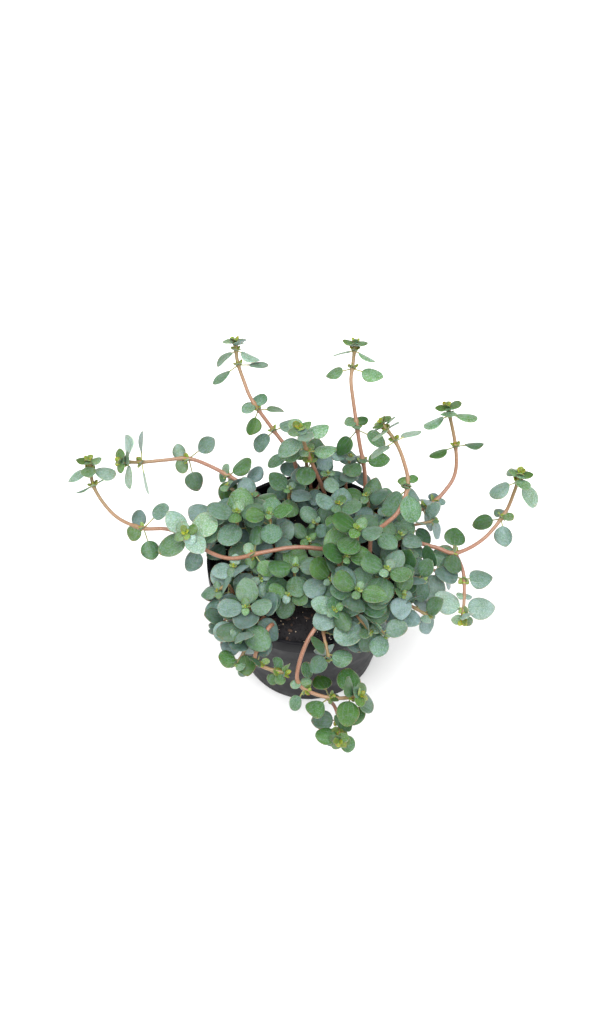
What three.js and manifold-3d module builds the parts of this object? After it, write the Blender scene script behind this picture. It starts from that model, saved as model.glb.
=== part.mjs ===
// A potted silver sparkle pilea: a round nursery pot filled with soil, in which leafy stems root.
// Each leafy stem is one closed body of a stem and its opposite pairs of round leaves.
// Millimetres, +Z up, origin at the middle of the underside of the pot.
import * as THREE from 'three';
import { mergeVertices } from 'three/addons/utils/BufferGeometryUtils.js';
import Module from 'manifold-3d';

const wasm = await Module();
wasm.setup();

// Pot: outer radii, heights and wall thicknesses.
const POT = {
  rimRadius: 48, height: 80, lipWall: 1.8, lipDrop: 9, shoulderRadius: 46.4, baseRadius: 34,
  wall: 1.2, floor: 1.8, chamfer: 1, sides: 28,
};
const DRAIN = { count: 4, radius: 3.5, ringRadius: 25, sides: 8 };

// Soil: level at the stems, the fall to its edge, the rise to its middle, and the gaps to its neighbours.
const SOIL = { level: 70, edgeDrop: 1.5, edgeWidth: 6, dome: 1, gap: 0.3, rootDepth: 9, holeSides: 4 };

// Cutting tools run on past the faces that they cut by this much.
const OVERRUN = 5;

// Stems: corner radius and number of sides of their section, the radius of a stem that leaves another, and
// the length of a straight step along them. A stem first rises straight out of the soil.
const RUNNER_STEM = { radius: 1.3, sideRadius: 0.9, sides: 4, step: 10 };
const SHOOT_STEM = { radius: 1.1, sideRadius: 0.78, sides: 4, step: 12 };
const MIN_STEPS = 3;
const STRAIGHT_RISE = 4;

// Leaf blades: thickness, half width of the petiole, how far it reaches into the blade, and half widths along
// the blade as [place, half width], both as shares of the blade's length.
const BLADE = { thickness: 0.62, petioleHalf: 0.34, petioleLap: 1, halves: [[0.26, 0.45], [0.72, 0.44]] };

// The crossed pairs of full leaves at a shoot's tip: distance from the tip, share of the leaf length, and
// lift above square to the stem. They look up more on a shoot that reaches over the rim. Its foot is bare.
// A young pair is two small leaves as one plate across the stem, half as wide as this share of their length.
const TIP_PAIRS = [{ back: 1.8, share: 0.86, lift: 22 }, { back: 6.4, share: 1, lift: 6 }];
const TIP_PETIOLE = 1;
const SHOOT_FACING = { inner: 0.5, outer: 0.85 };
const BARE_FOOT = 5;
const YOUNG_HALF = 0.42;
const TURN_STEP = 90;
const TURN_JITTER = 22;
const LIFT_JITTER = 16;
const SIZE_JITTER = 0.16;

// Where a leaf would touch another, it is swung round its stem, lifted or made smaller, in this order. It
// keeps these gaps to the leaves and stems of others and to the pot, once it is this far from its own stem.
const SHRINKS = [1, 0.9, 0.8, 0.7];
const SWINGS = [0, 14, -14, 28, -28];
const LIFTS = [0, 12, -12, 24, -24, 36, -36, 50];
const CLEARANCE = 0.34;
const POT_CLEARANCE = 0.8;
const NEAR_STEM = 1.5;
const BAR_LENGTH = 3;

// Seeds of the draws: a runner's with its tufts and branches, and a shoot's with its tips.
const SEEDS = {
  runner: 1000, runnerStep: 40, tuft: 12, branch: 20, branchStep: 10, shootStep: 30, tipStep: 10,
};

// Runners, from the root to the tip, and their branches, from the point that they leave. bud is the young
// pair at the tip as [leaf length, turn]. pairs are [distance back from the tip, leaf length, turn of the
// pair, lift, petiole, facing], where facing is how far leaves look up rather than along the stem. tufts are
// young pairs that look up, as [distance back, leaf length, turn].
const RUNNERS = [
  {
    name: 'runner_back_left', bud: [4.5, 105],
    points: [
      [-4, 36, 79], [-6, 44, 91], [-9, 49, 97], [-17, 57, 104], [-27, 67, 114], [-31, 75, 119],
      [-34, 82, 125], [-35, 89, 131],
    ],
    pairs: [
      [1.8, 7.5, 105, 8, 0.6, 0.5], [4, 9.5, 15, -22, 1.2, 0.5], [11, 9.5, 15, -18, 4, 0.45],
      [34.5, 9.5, 10, -40, 3, 0.6], [47, 11, 20, -15, 2, 0.8], [60, 10, 25, 0, 2, 0.8],
    ],
    tufts: [[31, 8, 15]],
    branches: [],
  },
  {
    name: 'runner_back', bud: [5, 110],
    points: [[9, 33, 79], [7, 32, 90], [3, 33, 104], [-1, 35, 117], [-4, 37, 130]],
    pairs: [
      [2.2, 8.5, 110, 12, 1, 0.6], [4.8, 11.5, 20, 0, 1.5, 0.6], [15, 10.5, 75, 0, 2, 0.9],
      [21, 10.5, -10, 0, 2.5, 0.9],
    ],
    tufts: [[13.5, 5, 0]],
    branches: [],
  },
  {
    name: 'runner_back_tall', bud: [4, 85],
    points: [
      [27, 28, 79], [27, 37, 94], [24, 47, 108], [21, 61, 122], [20, 68, 128], [21, 75, 132], [22, 82, 138],
    ],
    pairs: [
      [1.6, 6, 85, 10, 0.6, 0.4], [3.6, 8.5, -5, -24, 1, 0.15], [12, 10, 8, -14, 3.6, 1],
      [41, 11, 0, -38, 4, 0.85], [57, 10.5, 5, -8, 1.2, 0.8],
    ],
    tufts: [[37, 6.5, 0], [39, 5, 80], [55.5, 5, 95]],
    branches: [],
  },
  {
    name: 'runner_right_back', bud: [4, 65],
    points: [
      [27, -15, 79], [28, -10, 92], [29, -4, 104], [35, -2, 110], [41, 2, 115], [45, 12, 121], [43, 20, 128],
      [39, 27, 134], [33, 33, 139],
    ],
    pairs: [
      [1.6, 6, 65, 10, 0.6, 0.3], [3.6, 9, -25, 5, 0.8, 0.2], [10, 10.5, -3, -8, 3.5, 0.3],
      [33, 13, 5, -58, 1.8, 0.9], [58, 10.5, 20, 0, 1.5, 0.9],
    ],
    tufts: [[28.5, 5, 20], [30.6, 5, 110]],
    branches: [],
  },
  {
    name: 'runner_right_far', bud: [4.5, 110],
    points: [
      [37, 13, 80], [45, 16, 90], [56, 19, 94], [63, 24, 97], [69, 32, 102], [69, 41, 112], [65, 53, 126],
    ],
    pairs: [
      [1.8, 8, 110, 5, 0.6, 0.3], [4.2, 10.5, 20, -12, 1.8, 0.45], [19, 9.5, 0, -2, 3.5, 0.35],
      [49, 8.5, 50, -20, 2, 0.7], [55, 8.5, -20, 0, 2, 0.6],
    ],
    tufts: [[47, 5, 0]],
    branches: [],
  },
  {
    name: 'runner_right', bud: [5, 62],
    points: [
      [38, 2, 80], [44, 1, 91], [58, -4, 94], [68, -6, 92], [81, 1, 93], [91, 11, 99], [95, 17, 108],
      [97, 21, 117],
    ],
    pairs: [
      [2, 8.5, 62, -5, 0.8, 0.5], [4.4, 10.5, -18, -38, 2.6, 0.7], [24, 10.5, 5, -42, 2.6, 0.9],
      [53, 10.5, 0, 0, 1.5, 0.9],
    ],
    tufts: [[21.6, 6.5, 10], [51, 6, 60]],
    branches: [
      {
        from: 3, bud: [5, 90], points: [[71, -16, 91], [71, -27, 88], [70, -37, 84]],
        pairs: [[2.4, 9, 90, 12, 0.8, 0.95], [4.8, 12.5, 0, -12, 1.2, 0.9], [19, 11, 5, -10, 1.8, 0.95]],
        tufts: [[11, 4.5, 10]],
      },
    ],
  },
  {
    name: 'runner_left_back', bud: [4.5, 110],
    points: [
      [-21, 27, 80], [-25, 29, 90], [-35, 34, 95], [-48, 41, 97], [-58, 45, 97], [-69, 44, 97], [-80, 42, 98],
      [-89, 40, 101],
    ],
    pairs: [
      [1.6, 8, 110, 4, 0.6, 0], [3.4, 12, 20, -4, 0.8, 0.05], [10, 10.5, 32, -8, 3.6, 0.1],
      [32.5, 9.5, 40, -33, 5.2, 1], [54, 11, 40, -20, 1.5, 1], [64, 10.5, 15, 0, 1.5, 0.9],
    ],
    tufts: [[28.6, 7.5, 50], [51.5, 5.5, 50]],
    branches: [],
  },
  {
    name: 'runner_left', bud: [4.5, 100],
    points: [
      [16, -7, 80], [13, -7, 93], [3, -8, 99], [-8, -9, 101], [-21, -11, 100], [-35, -11, 95], [-46, -6, 93],
      [-55, 1, 94], [-66, 6, 94], [-78, 8, 92], [-91, 15, 92], [-101, 27, 97], [-103, 35, 108],
    ],
    pairs: [
      [1.8, 8, 100, -10, 0.6, 0.6], [4, 10, 10, -20, 1, 0.5], [12.4, 7.5, 10, 12, 1.5, 0.1],
      [46, 9, 36, -32, 5.2, 1], [76, 11, 30, -10, 1.5, 1], [104, 9, 20, -20, 3, 0.8],
    ],
    tufts: [[42, 8, 40], [102, 6, 30]],
    branches: [
      {
        from: 7, bud: [6.5, 60], points: [[-56, -3, 104]],
        pairs: [[2.6, 11.5, 55, 12, 1, 0.9], [6, 13.5, -30, -4, 1, 0.9]],
        tufts: [],
      },
    ],
  },
  {
    name: 'runner_front_left', bud: [3.5, 20],
    points: [
      [-15, -36, 79], [-17, -43, 89], [-22, -51, 86], [-24, -56, 80], [-18, -58, 76], [-11, -59, 74.5],
    ],
    pairs: [[2, 5.5, 20, 10, 0.6, 0.8], [4.4, 6.5, 110, 0, 1, 0.9], [13, 7.5, 70, -30, 3, 0.9]],
    tufts: [],
    branches: [],
  },
  {
    name: 'runner_front', bud: [6, 90],
    points: [
      [8, -35, 80], [6, -41, 90], [0, -50, 89], [-4, -57, 81], [-5, -62, 72], [0, -65, 68], [8, -67, 66],
      [16, -68, 67], [23, -69, 72],
    ],
    pairs: [
      [2.6, 10.5, 90, 15, 1, 0.85], [5.4, 12.5, 0, 0, 1.2, 0.85], [15, 9.5, 20, -30, 4, 0.9],
      [27, 8.5, 10, -20, 4, 0.6],
    ],
    tufts: [[13, 5, 30], [31, 5, 0]],
    branches: [
      {
        from: 6, bud: [5.5, 30], points: [[12, -69, 60], [14, -75, 55], [14, -84, 57]],
        pairs: [[2.6, 9, 30, 15, 0.8, 0.85], [5.4, 10.5, 115, 0, 1, 0.85], [11, 10.5, 20, -6, 1.5, 0.85]],
        tufts: [],
      },
    ],
  },
];

// Shoots of the mat: the root on the soil and its tips as [x, y, z, turn, leaf length].
const SHOOTS = [
  { root: [-27, 20], tips: [[-38, 31, 94, 20, 11.5], [-27, 22, 98, 60, 10.5]] },
  { root: [-10, 26], tips: [[-9, 27, 97, 30, 12]] },
  { root: [2, 38], tips: [[-2, 43, 103, 30, 11.5], [9, 33, 101, 70, 10]] },
  { root: [18, 34], tips: [[20, 43, 101, 0, 10.5]] },
  { root: [31, 22], tips: [[27, 22, 98, 10, 11.5], [37, 15, 97, 50, 12]] },
  { root: [14, 12], tips: [[14, 13, 104, 20, 11.5], [3, 9, 95, 60, 10.5]] },
  { root: [-33, 6], tips: [[-33, 7, 106, 5, 13.5], [-46, 10, 98, 40, 12.5]] },
  { root: [-16, 6], tips: [[-18, 3, 111, 0, 11], [-16, -2, 99, 45, 10.5]] },
  { root: [-28, -10], tips: [[-34, -14, 93, 10, 11.5], [-22, -20, 92, 50, 11.5]] },
  { root: [-7, -17], tips: [[-6, -19, 101, 0, 11.5], [-9, -29, 93, 30, 10.5]] },
  { root: [7, -14], tips: [[17, -19, 109, 0, 13], [10, -27, 102, 40, 12]] },
  { root: [22, -8], tips: [[22, -9, 116, 30, 12.5]] },
  { root: [19, -27], tips: [[22, -35, 106, 20, 13], [12, -40, 98, 60, 12.5]] },
  { root: [33, -20], tips: [[35, -25, 108, 25, 12.5], [42, -32, 98, 70, 12]] },
  { root: [36, -3], tips: [[42, -2, 101, 30, 11.5], [46, -8, 94, 60, 11.5]] },
  { root: [37, 7], tips: [[59, 11, 94, 20, 11]] },
  { root: [36, -13], tips: [[65, -15, 88, 0, 12.5], [52, -21, 93, 45, 12]] },
  { root: [35, -22], tips: [[54, -36, 86, 20, 12]] },
  { root: [25, -33], tips: [[27, -48, 93, 10, 13.5], [34, -48, 89, 50, 12]] },
  { root: [-34, -20], tips: [[-41, -25, 90, 0, 10.5], [-42, -40, 81, 60, 10.5]] },
  { root: [-25, -30], tips: [[-28, -38, 97, 0, 12.5], [-32, -50, 92, 40, 12.5]] },
  { root: [-21, -35], tips: [[-32, -57, 79, 0, 10.5]] },
  { root: [13, -37], tips: [[9, -57, 84, 20, 10.5]] },
  { root: [-2, 4], tips: [[0, 0, 94, 45, 10.5]] },
];

// A shoot's stem bows upwards on its way by this much. One whose tip lies past the pot's wall first rises
// to a point over the rim.
const BOW = 4;
const OVER_RIM = { from: 46, radius: 43, heights: [86, 90] };

const POT_FINISH = { color: 0x1d1d21, roughness: 0.45, metalness: 0 };
const SOIL_FINISH = { color: 0x1a1620, roughness: 0.95, metalness: 0 };
const LEAF_FINISH = { color: 0x6f9c7c, roughness: 0.5, metalness: 0 };

const UP = new THREE.Vector3(0, 0, 1);
const BACK = new THREE.Vector3(0, 1, 0);
const radians = THREE.MathUtils.degToRad;

// A closed mesh as a solid, and a solid as a mesh.
function solidOf(geometry) {
  geometry.deleteAttribute('normal');
  geometry.deleteAttribute('uv');
  const merged = mergeVertices(geometry, 1e-4);
  const vertProperties = new Float32Array(merged.attributes.position.array);
  const triVerts = new Uint32Array(merged.index.array);
  return new wasm.Manifold(new wasm.Mesh({ numProp: 3, vertProperties, triVerts }));
}

function meshOf(name, solid, finish) {
  const { vertProperties, triVerts } = solid.getMesh();
  const geometry = new THREE.BufferGeometry();
  geometry.setAttribute('position', new THREE.BufferAttribute(vertProperties, 3));
  geometry.setIndex(new THREE.BufferAttribute(triVerts, 1));
  geometry.computeVertexNormals();
  const mesh = new THREE.Mesh(geometry, new THREE.MeshStandardMaterial(finish));
  mesh.name = name;
  return mesh;
}

// A profile of [radius, height] turned round Z.
function turned(profile, sides) {
  const points = profile.map(([radius, height]) => new THREE.Vector2(radius, height));
  return solidOf(new THREE.LatheGeometry(points, sides).rotateX(Math.PI / 2));
}

// An upright prism that stands on z.
function post(x, y, z, radius, height, sides) {
  const geometry = new THREE.CylinderGeometry(radius, radius, height, sides).rotateX(Math.PI / 2);
  return solidOf(geometry.translate(x, y, z + height / 2));
}

// The same pseudo-random number from 0 to 1 for the same seed and place in line.
function draw(seed, place) {
  const wave = Math.sin(seed * 12.9898 + place * 78.233) * 43758.5453;
  return wave - Math.floor(wave);
}

// Inner radius of the pot's wall at a height.
function wallRadius(height) {
  const taper = (POT.shoulderRadius - POT.baseRadius) / (POT.height - POT.lipDrop);
  return POT.baseRadius + taper * height - POT.wall;
}

function buildPot() {
  const shoulder = POT.height - POT.lipDrop;
  const lipInner = POT.rimRadius - POT.lipWall;
  const pot = turned([
    [0, 0], [POT.baseRadius - POT.chamfer, 0], [POT.baseRadius, POT.chamfer],
    [POT.shoulderRadius, shoulder], [POT.rimRadius, shoulder + POT.chamfer],
    [POT.rimRadius, POT.height - POT.chamfer / 2], [POT.rimRadius - POT.chamfer / 2, POT.height],
    [lipInner, POT.height], [lipInner, shoulder + POT.lipWall],
    [wallRadius(shoulder), shoulder], [wallRadius(POT.floor), POT.floor], [0, POT.floor],
  ], POT.sides);
  const holes = Array.from({ length: DRAIN.count }, (_, i) => {
    const angle = (i + 0.5) * 2 * Math.PI / DRAIN.count;
    const x = DRAIN.ringRadius * Math.cos(angle);
    const y = DRAIN.ringRadius * Math.sin(angle);
    return post(x, y, -OVERRUN, DRAIN.radius, POT.floor + 2 * OVERRUN, DRAIN.sides);
  });
  return holes.reduce((solid, hole) => solid.subtract(hole), pot);
}

function buildSoil(roots) {
  const bottom = POT.floor + SOIL.gap;
  const edge = SOIL.level - SOIL.edgeDrop;
  const plug = turned([
    [0, bottom], [wallRadius(bottom) - SOIL.gap, bottom], [wallRadius(edge) - SOIL.gap, edge],
    [wallRadius(edge) - SOIL.edgeWidth, SOIL.level], [0, SOIL.level + SOIL.dome],
  ], POT.sides);
  const floor = SOIL.level - SOIL.rootDepth - SOIL.gap;
  return roots.reduce((solid, { x, y, radius }) => {
    const corner = (radius + SOIL.gap) / Math.cos(Math.PI / SOIL.holeSides);
    const hole = post(x, y, floor, corner, SOIL.rootDepth + OVERRUN, SOIL.holeSides);
    return solid.subtract(hole);
  }, plug);
}

// A stem's route: a curve through its points, measured back from its tip, with its radius.
class Route {
  constructor(points, { sides, step }, radius) {
    this.sides = sides;
    this.radius = radius;
    this.points = points.map((point) => new THREE.Vector3(...point));
    this.curve = new THREE.CatmullRomCurve3(this.points, false, 'catmullrom', 0.5);
    this.steps = Math.max(MIN_STEPS, Math.round(this.curve.getLength() / step));
    this.line = this.curve.getSpacedPoints(this.steps);
    this.reach = [0];
    for (let i = 1; i < this.line.length; i += 1) {
      this.reach.push(this.reach[i - 1] + this.line[i].distanceTo(this.line[i - 1]));
    }
    this.length = this.reach[this.reach.length - 1];
  }

  // The place and direction at a distance back from the tip.
  at(back) {
    const goal = this.length - back;
    let i = 1;
    while (i < this.line.length - 1 && this.reach[i] < goal) i += 1;
    const share = (goal - this.reach[i - 1]) / (this.reach[i] - this.reach[i - 1]);
    return {
      place: this.line[i - 1].clone().lerp(this.line[i], share),
      along: this.line[i].clone().sub(this.line[i - 1]).normalize(),
    };
  }

  // The stem's solid. Its section is turned so that its flats face the petioles at the tip.
  solid() {
    const { normals, binormals } = this.curve.computeFrenetFrames(this.steps, false);
    const flat = Math.atan2(this.facet.dot(binormals[this.steps]), this.facet.dot(normals[this.steps]));
    const section = new THREE.Shape(Array.from({ length: this.sides }, (_, i) => {
      const angle = flat + (i + 0.5) * 2 * Math.PI / this.sides;
      return new THREE.Vector2(this.radius * Math.cos(angle), this.radius * Math.sin(angle));
    }));
    return solidOf(new THREE.ExtrudeGeometry(section, { steps: this.steps, extrudePath: this.curve }));
  }

  // The route as flat bars, for testing what lies near it.
  bars(owner) {
    const count = Math.ceil(this.length / BAR_LENGTH);
    return Array.from({ length: count }, (_, i) => {
      const start = this.at(this.length * (1 - i / count));
      const end = this.at(this.length * (1 - (i + 1) / count));
      const along = end.place.clone().sub(start.place).normalize();
      const side = along.clone().cross(Math.abs(along.z) < 0.9 ? UP : BACK).normalize();
      side.multiplyScalar(this.radius);
      const outline = [
        start.place.clone().add(side), end.place.clone().add(side),
        end.place.clone().sub(side), start.place.clone().sub(side),
      ];
      const bar = new Plate(owner, outline, side.clone().cross(along).normalize(), this.radius);
      bar.route = this;
      return bar;
    });
  }
}

// A flat convex plate with an outline at mid thickness, for testing whether two things touch.
class Plate {
  constructor(owner, outline, normal, half) {
    this.owner = owner;
    this.normal = normal;
    const lift = normal.clone().multiplyScalar(half);
    this.corners = outline.flatMap((point) => [point.clone().add(lift), point.clone().sub(lift)]);
    this.edges = outline.map((point, i) => outline[(i + 1) % outline.length].clone().sub(point).normalize());
    this.centre = outline.reduce((sum, point) => sum.add(point), new THREE.Vector3());
    this.centre.divideScalar(outline.length);
    this.extent = Math.max(...this.corners.map((corner) => corner.distanceTo(this.centre)));
    this.faces = [normal, ...this.edges.map((edge) => edge.clone().cross(normal).normalize())];
  }

  gapAlong(other, axis) {
    let [low, high, otherLow, otherHigh] = [Infinity, -Infinity, Infinity, -Infinity];
    for (const corner of this.corners) {
      const value = corner.dot(axis);
      low = Math.min(low, value);
      high = Math.max(high, value);
    }
    for (const corner of other.corners) {
      const value = corner.dot(axis);
      otherLow = Math.min(otherLow, value);
      otherHigh = Math.max(otherHigh, value);
    }
    return Math.max(otherLow - high, low - otherHigh);
  }

  isClearOf(other, gap) {
    const between = other.centre.clone().sub(this.centre);
    if (between.length() > this.extent + other.extent + gap) return true;
    const isApart = (axis) => this.gapAlong(other, axis) >= gap;
    if (isApart(between.normalize()) || [...this.faces, ...other.faces].some(isApart)) return true;
    const axis = new THREE.Vector3();
    const others = [...other.edges, other.normal];
    return [...this.edges, this.normal].some((edge) => others.some((otherEdge) => {
      axis.crossVectors(edge, otherEdge);
      return axis.lengthSq() > 1e-6 && isApart(axis.normalize());
    }));
  }
}

// Whether a point stays out of the pot and the soil by a clearance.
function isOutOfPot({ x, y, z }) {
  const radius = Math.hypot(x, y);
  if (z > POT.height + POT_CLEARANCE) return true;
  const shoulder = POT.height - POT.lipDrop;
  const outer = z > shoulder - POT_CLEARANCE ? POT.rimRadius : wallRadius(z) + POT.wall;
  if (radius > outer + POT_CLEARANCE) return true;
  const inner = z > shoulder + POT.lipWall ? POT.rimRadius - POT.lipWall : wallRadius(shoulder);
  return radius < inner - POT_CLEARANCE && z > SOIL.level + SOIL.dome + POT_CLEARANCE;
}

// The half outline of a full leaf, as [along, across] from the middle of its stem, and its petiole's end.
function leafOutline(size, petioleEnd) {
  const halves = BLADE.halves.map(([share, half]) => [petioleEnd + share * size, half * size]);
  halves.unshift([petioleEnd, BLADE.petioleHalf]);
  const mirrored = halves.slice().reverse().map(([u, v]) => [u, -v]);
  return [...halves, [petioleEnd + size, 0], ...mirrored];
}

// A young pair's outline: two narrow leaves end to end.
function youngOutline(size) {
  return [[-size, 0], [0, YOUNG_HALF * size], [size, 0], [0, -YOUNG_HALF * size]];
}

// The direction square to a stem at a turn round it, from the side that a reference direction gives.
function outward(along, reference, turn) {
  const across = along.clone().cross(reference).normalize();
  const over = across.clone().cross(along);
  return across.multiplyScalar(Math.cos(radians(turn))).addScaledVector(over, Math.sin(radians(turn)));
}

// A blade at a place on a stem. Its axis leaves the stem at a turn round it and a lift towards its tip, and
// its normal looks partly along the stem and partly up. A petiole, if it has one, starts inside the stem.
class Blade {
  constructor({ owner, route, back, reference, facing }, { turn, lift, outline, petioleEnd }) {
    const { place, along } = route.at(back);
    const out = outward(along, reference, turn);
    this.owner = owner;
    this.base = place;
    this.axis = out.multiplyScalar(Math.cos(radians(lift))).addScaledVector(along, Math.sin(radians(lift)));
    const look = along.clone().multiplyScalar(1 - facing).addScaledVector(UP, facing);
    this.normal = look.addScaledVector(this.axis, -look.dot(this.axis)).normalize();
    this.side = this.normal.clone().cross(this.axis);
    this.outline = outline;
    this.petioleEnd = petioleEnd;
  }

  point([u, v]) {
    return this.base.clone().addScaledVector(this.axis, u).addScaledVector(this.side, v);
  }

  plate(outline) {
    return new Plate(this.owner, outline.map((pair) => this.point(pair)), this.normal, BLADE.thickness / 2);
  }

  plates() {
    const blade = this.plate(this.outline);
    if (!this.petioleEnd) return [blade];
    const end = this.petioleEnd + BLADE.petioleLap;
    const half = BLADE.petioleHalf;
    const petiole = this.plate([[0, half], [end, half], [end, -half], [0, -half]]);
    petiole.isPetiole = true;
    return [blade, petiole];
  }

  isOutOfPot() {
    const corners = [[0, 0], ...this.outline].map((pair) => this.point(pair));
    return corners.every((corner) => corners.every((other) => [0, 0.25, 0.5].every((share) => {
      const spot = corner.clone().lerp(other, share);
      return spot.distanceTo(this.base) < NEAR_STEM || isOutOfPot(spot);
    })));
  }

  solid() {
    const half = BLADE.petioleHalf;
    const corners = this.petioleEnd ? [[0, half], ...this.outline, [0, -half]] : this.outline;
    const shape = new THREE.Shape(corners.map(([u, v]) => new THREE.Vector2(u, v)));
    const geometry = new THREE.ExtrudeGeometry(shape, { depth: BLADE.thickness, bevelEnabled: false });
    geometry.translate(0, 0, -BLADE.thickness / 2);
    const place = new THREE.Matrix4().makeBasis(this.axis, this.side, this.normal).setPosition(this.base);
    return solidOf(geometry.applyMatrix4(place));
  }
}

// The points of a stem from its root in the soil to its first point above it.
function rootPoints(x, y) {
  return [[x, y, SOIL.level - SOIL.rootDepth], [x, y, SOIL.level], [x, y, SOIL.level + STRAIGHT_RISE]];
}

// The growth of a runner or of its branch: the young pair at the tip, the full pairs and the tufts.
function runnerGrowth(spot, { bud: [young, turn], pairs, tufts }) {
  const { route, seed } = spot;
  route.facet = outward(route.at(0).along, spot.reference, turn);
  const full = pairs.map(([back, size, pairTurn, lift, petiole, facing], i) => (
    { back, size, turn: pairTurn, lift, petiole, facing, seed: seed + i + 1 }
  ));
  const small = tufts.map(([back, length, tuftTurn], i) => (
    { back, young: length, turn: tuftTurn, lift: 0, facing: 1, seed: seed + SEEDS.tuft + i }
  ));
  const growth = [{ back: 0, young, turn, lift: 0, facing: 0 }, ...full, ...small];
  return growth.map((each) => ({ ...spot, layer: 0, ...each }));
}

// A runner's stems and growth, with its branches.
function planRunner(runner, index) {
  const { name, points, branches } = runner;
  const [x, y] = points[0];
  const seed = SEEDS.runner + SEEDS.runnerStep * index;
  const main = new Route([...rootPoints(x, y), ...points.slice(1)], RUNNER_STEM, RUNNER_STEM.radius);
  const growth = runnerGrowth({ owner: name, route: main, reference: UP, seed }, runner);
  const sides = branches.map((branch, i) => {
    const route = new Route([points[branch.from], ...branch.points], RUNNER_STEM, RUNNER_STEM.sideRadius);
    const sideSeed = seed + SEEDS.branch + SEEDS.branchStep * i;
    growth.push(...runnerGrowth({ owner: name, route, reference: BACK, seed: sideSeed }, branch));
    return route;
  });
  return { name, root: { x, y, radius: RUNNER_STEM.radius }, routes: [main, ...sides], growth };
}

// The growth of a shoot's tip: its crossed pairs. Near its foot a stem stays bare.
function shootGrowth(spot, { leaf, turn }, bare) {
  const { route, seed } = spot;
  route.facet = outward(route.at(0).along, spot.reference, turn);
  return TIP_PAIRS.filter(({ back }) => back < route.length - bare).map(({ back, share, lift }, i) => {
    const pair = { ...spot, back, lift, turn: turn + TURN_STEP * i, layer: i, seed: seed + i + 1 };
    return { ...pair, size: leaf * share, petiole: TIP_PETIOLE };
  });
}

// A shoot of the mat: its first stem rises from the root, and the others leave it just above the soil.
function planShoot({ root: [x, y], tips }, index) {
  const name = `shoot_${String(index + 1).padStart(2, '0')}`;
  const start = rootPoints(x, y);
  const growth = [];
  const routes = tips.map(([tipX, tipY, tipZ, turn, leaf], i) => {
    const reach = Math.hypot(tipX, tipY);
    const share = OVER_RIM.radius / reach;
    const middle = reach > OVER_RIM.from
      ? [tipX * share, tipY * share, THREE.MathUtils.clamp(tipZ, ...OVER_RIM.heights)]
      : [(x + tipX) / 2, (y + tipY) / 2, (SOIL.level + tipZ) / 2 + BOW];
    const points = [...(i === 0 ? start : start.slice(-1)), middle, [tipX, tipY, tipZ]];
    const route = new Route(points, SHOOT_STEM, i === 0 ? SHOOT_STEM.radius : SHOOT_STEM.sideRadius);
    const seed = SEEDS.shootStep * index + SEEDS.tipStep * i;
    const facing = reach > OVER_RIM.from ? SHOOT_FACING.outer : SHOOT_FACING.inner;
    const spot = { owner: name, route, reference: BACK, facing, seed };
    growth.push(...shootGrowth(spot, { leaf, turn }, BARE_FOOT + (i === 0 ? SOIL.rootDepth : 0)));
    return route;
  });
  return { name, root: { x, y, radius: SHOOT_STEM.radius }, routes, growth };
}

// The blades that a growth may put out, the best first: a young pair is one blade, a full pair is two halves.
function posturesOf(growth, half) {
  const { seed, size, young, petiole, route } = growth;
  const turn = growth.turn + 180 * half + TURN_JITTER * (draw(seed, 3 * half) - 0.5);
  const lift = growth.lift + LIFT_JITTER * (draw(seed, 3 * half + 1) - 0.5);
  const scale = 1 + SIZE_JITTER * (draw(seed, 3 * half + 2) - 0.5);
  return SHRINKS.flatMap((shrink) => LIFTS.flatMap((up) => SWINGS.map((swing) => {
    const posture = { turn: turn + swing, lift: lift + up };
    if (young) return { ...posture, outline: youngOutline(young * shrink * scale) };
    const petioleEnd = petiole + route.radius;
    return { ...posture, petioleEnd, outline: leafOutline(size * shrink * scale, petioleEnd) };
  })));
}

// Whether a blade keeps clear of all that already stands round it, apart from its own stem and petioles.
function isFree(blade, growth, taken) {
  const plates = blade.plates();
  return blade.isOutOfPot() && taken.every((rival) => {
    const own = rival.owner === blade.owner;
    if (rival.route === growth.route || (own && rival.isPetiole)) return true;
    const tested = own ? plates.slice(0, 1) : plates;
    return tested.every((plate) => plate.isClearOf(rival, own ? 0 : CLEARANCE));
  });
}

// Puts out every growth's blades, each in the first posture that touches nothing, upper pairs first.
function growBlades(plants) {
  const taken = plants.flatMap(({ name, routes }) => routes.flatMap((route) => route.bars(name)));
  const buds = plants.flatMap((plant) => plant.growth.map((growth) => ({ plant, growth })));
  buds.sort((a, b) => a.growth.layer - b.growth.layer);
  for (const { plant, growth } of buds) {
    for (const half of growth.young ? [0] : [0, 1]) {
      for (const posture of posturesOf(growth, half)) {
        const blade = new Blade(growth, posture);
        if (isFree(blade, growth, taken)) {
          taken.push(...blade.plates());
          plant.blades.push(blade);
          break;
        }
      }
    }
  }
}

const plans = [...RUNNERS.map(planRunner), ...SHOOTS.map(planShoot)];
const plants = plans.map((plan) => ({ ...plan, blades: [] }));
growBlades(plants);

const group = new THREE.Group();
group.add(meshOf('pot', buildPot(), POT_FINISH));
group.add(meshOf('soil', buildSoil(plants.map(({ root }) => root)), SOIL_FINISH));
for (const { name, routes, blades } of plants) {
  const parts = [...routes, ...blades].map((piece) => piece.solid());
  group.add(meshOf(name, parts.reduce((whole, part) => whole.add(part)), LEAF_FINISH));
}

export default group;
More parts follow.
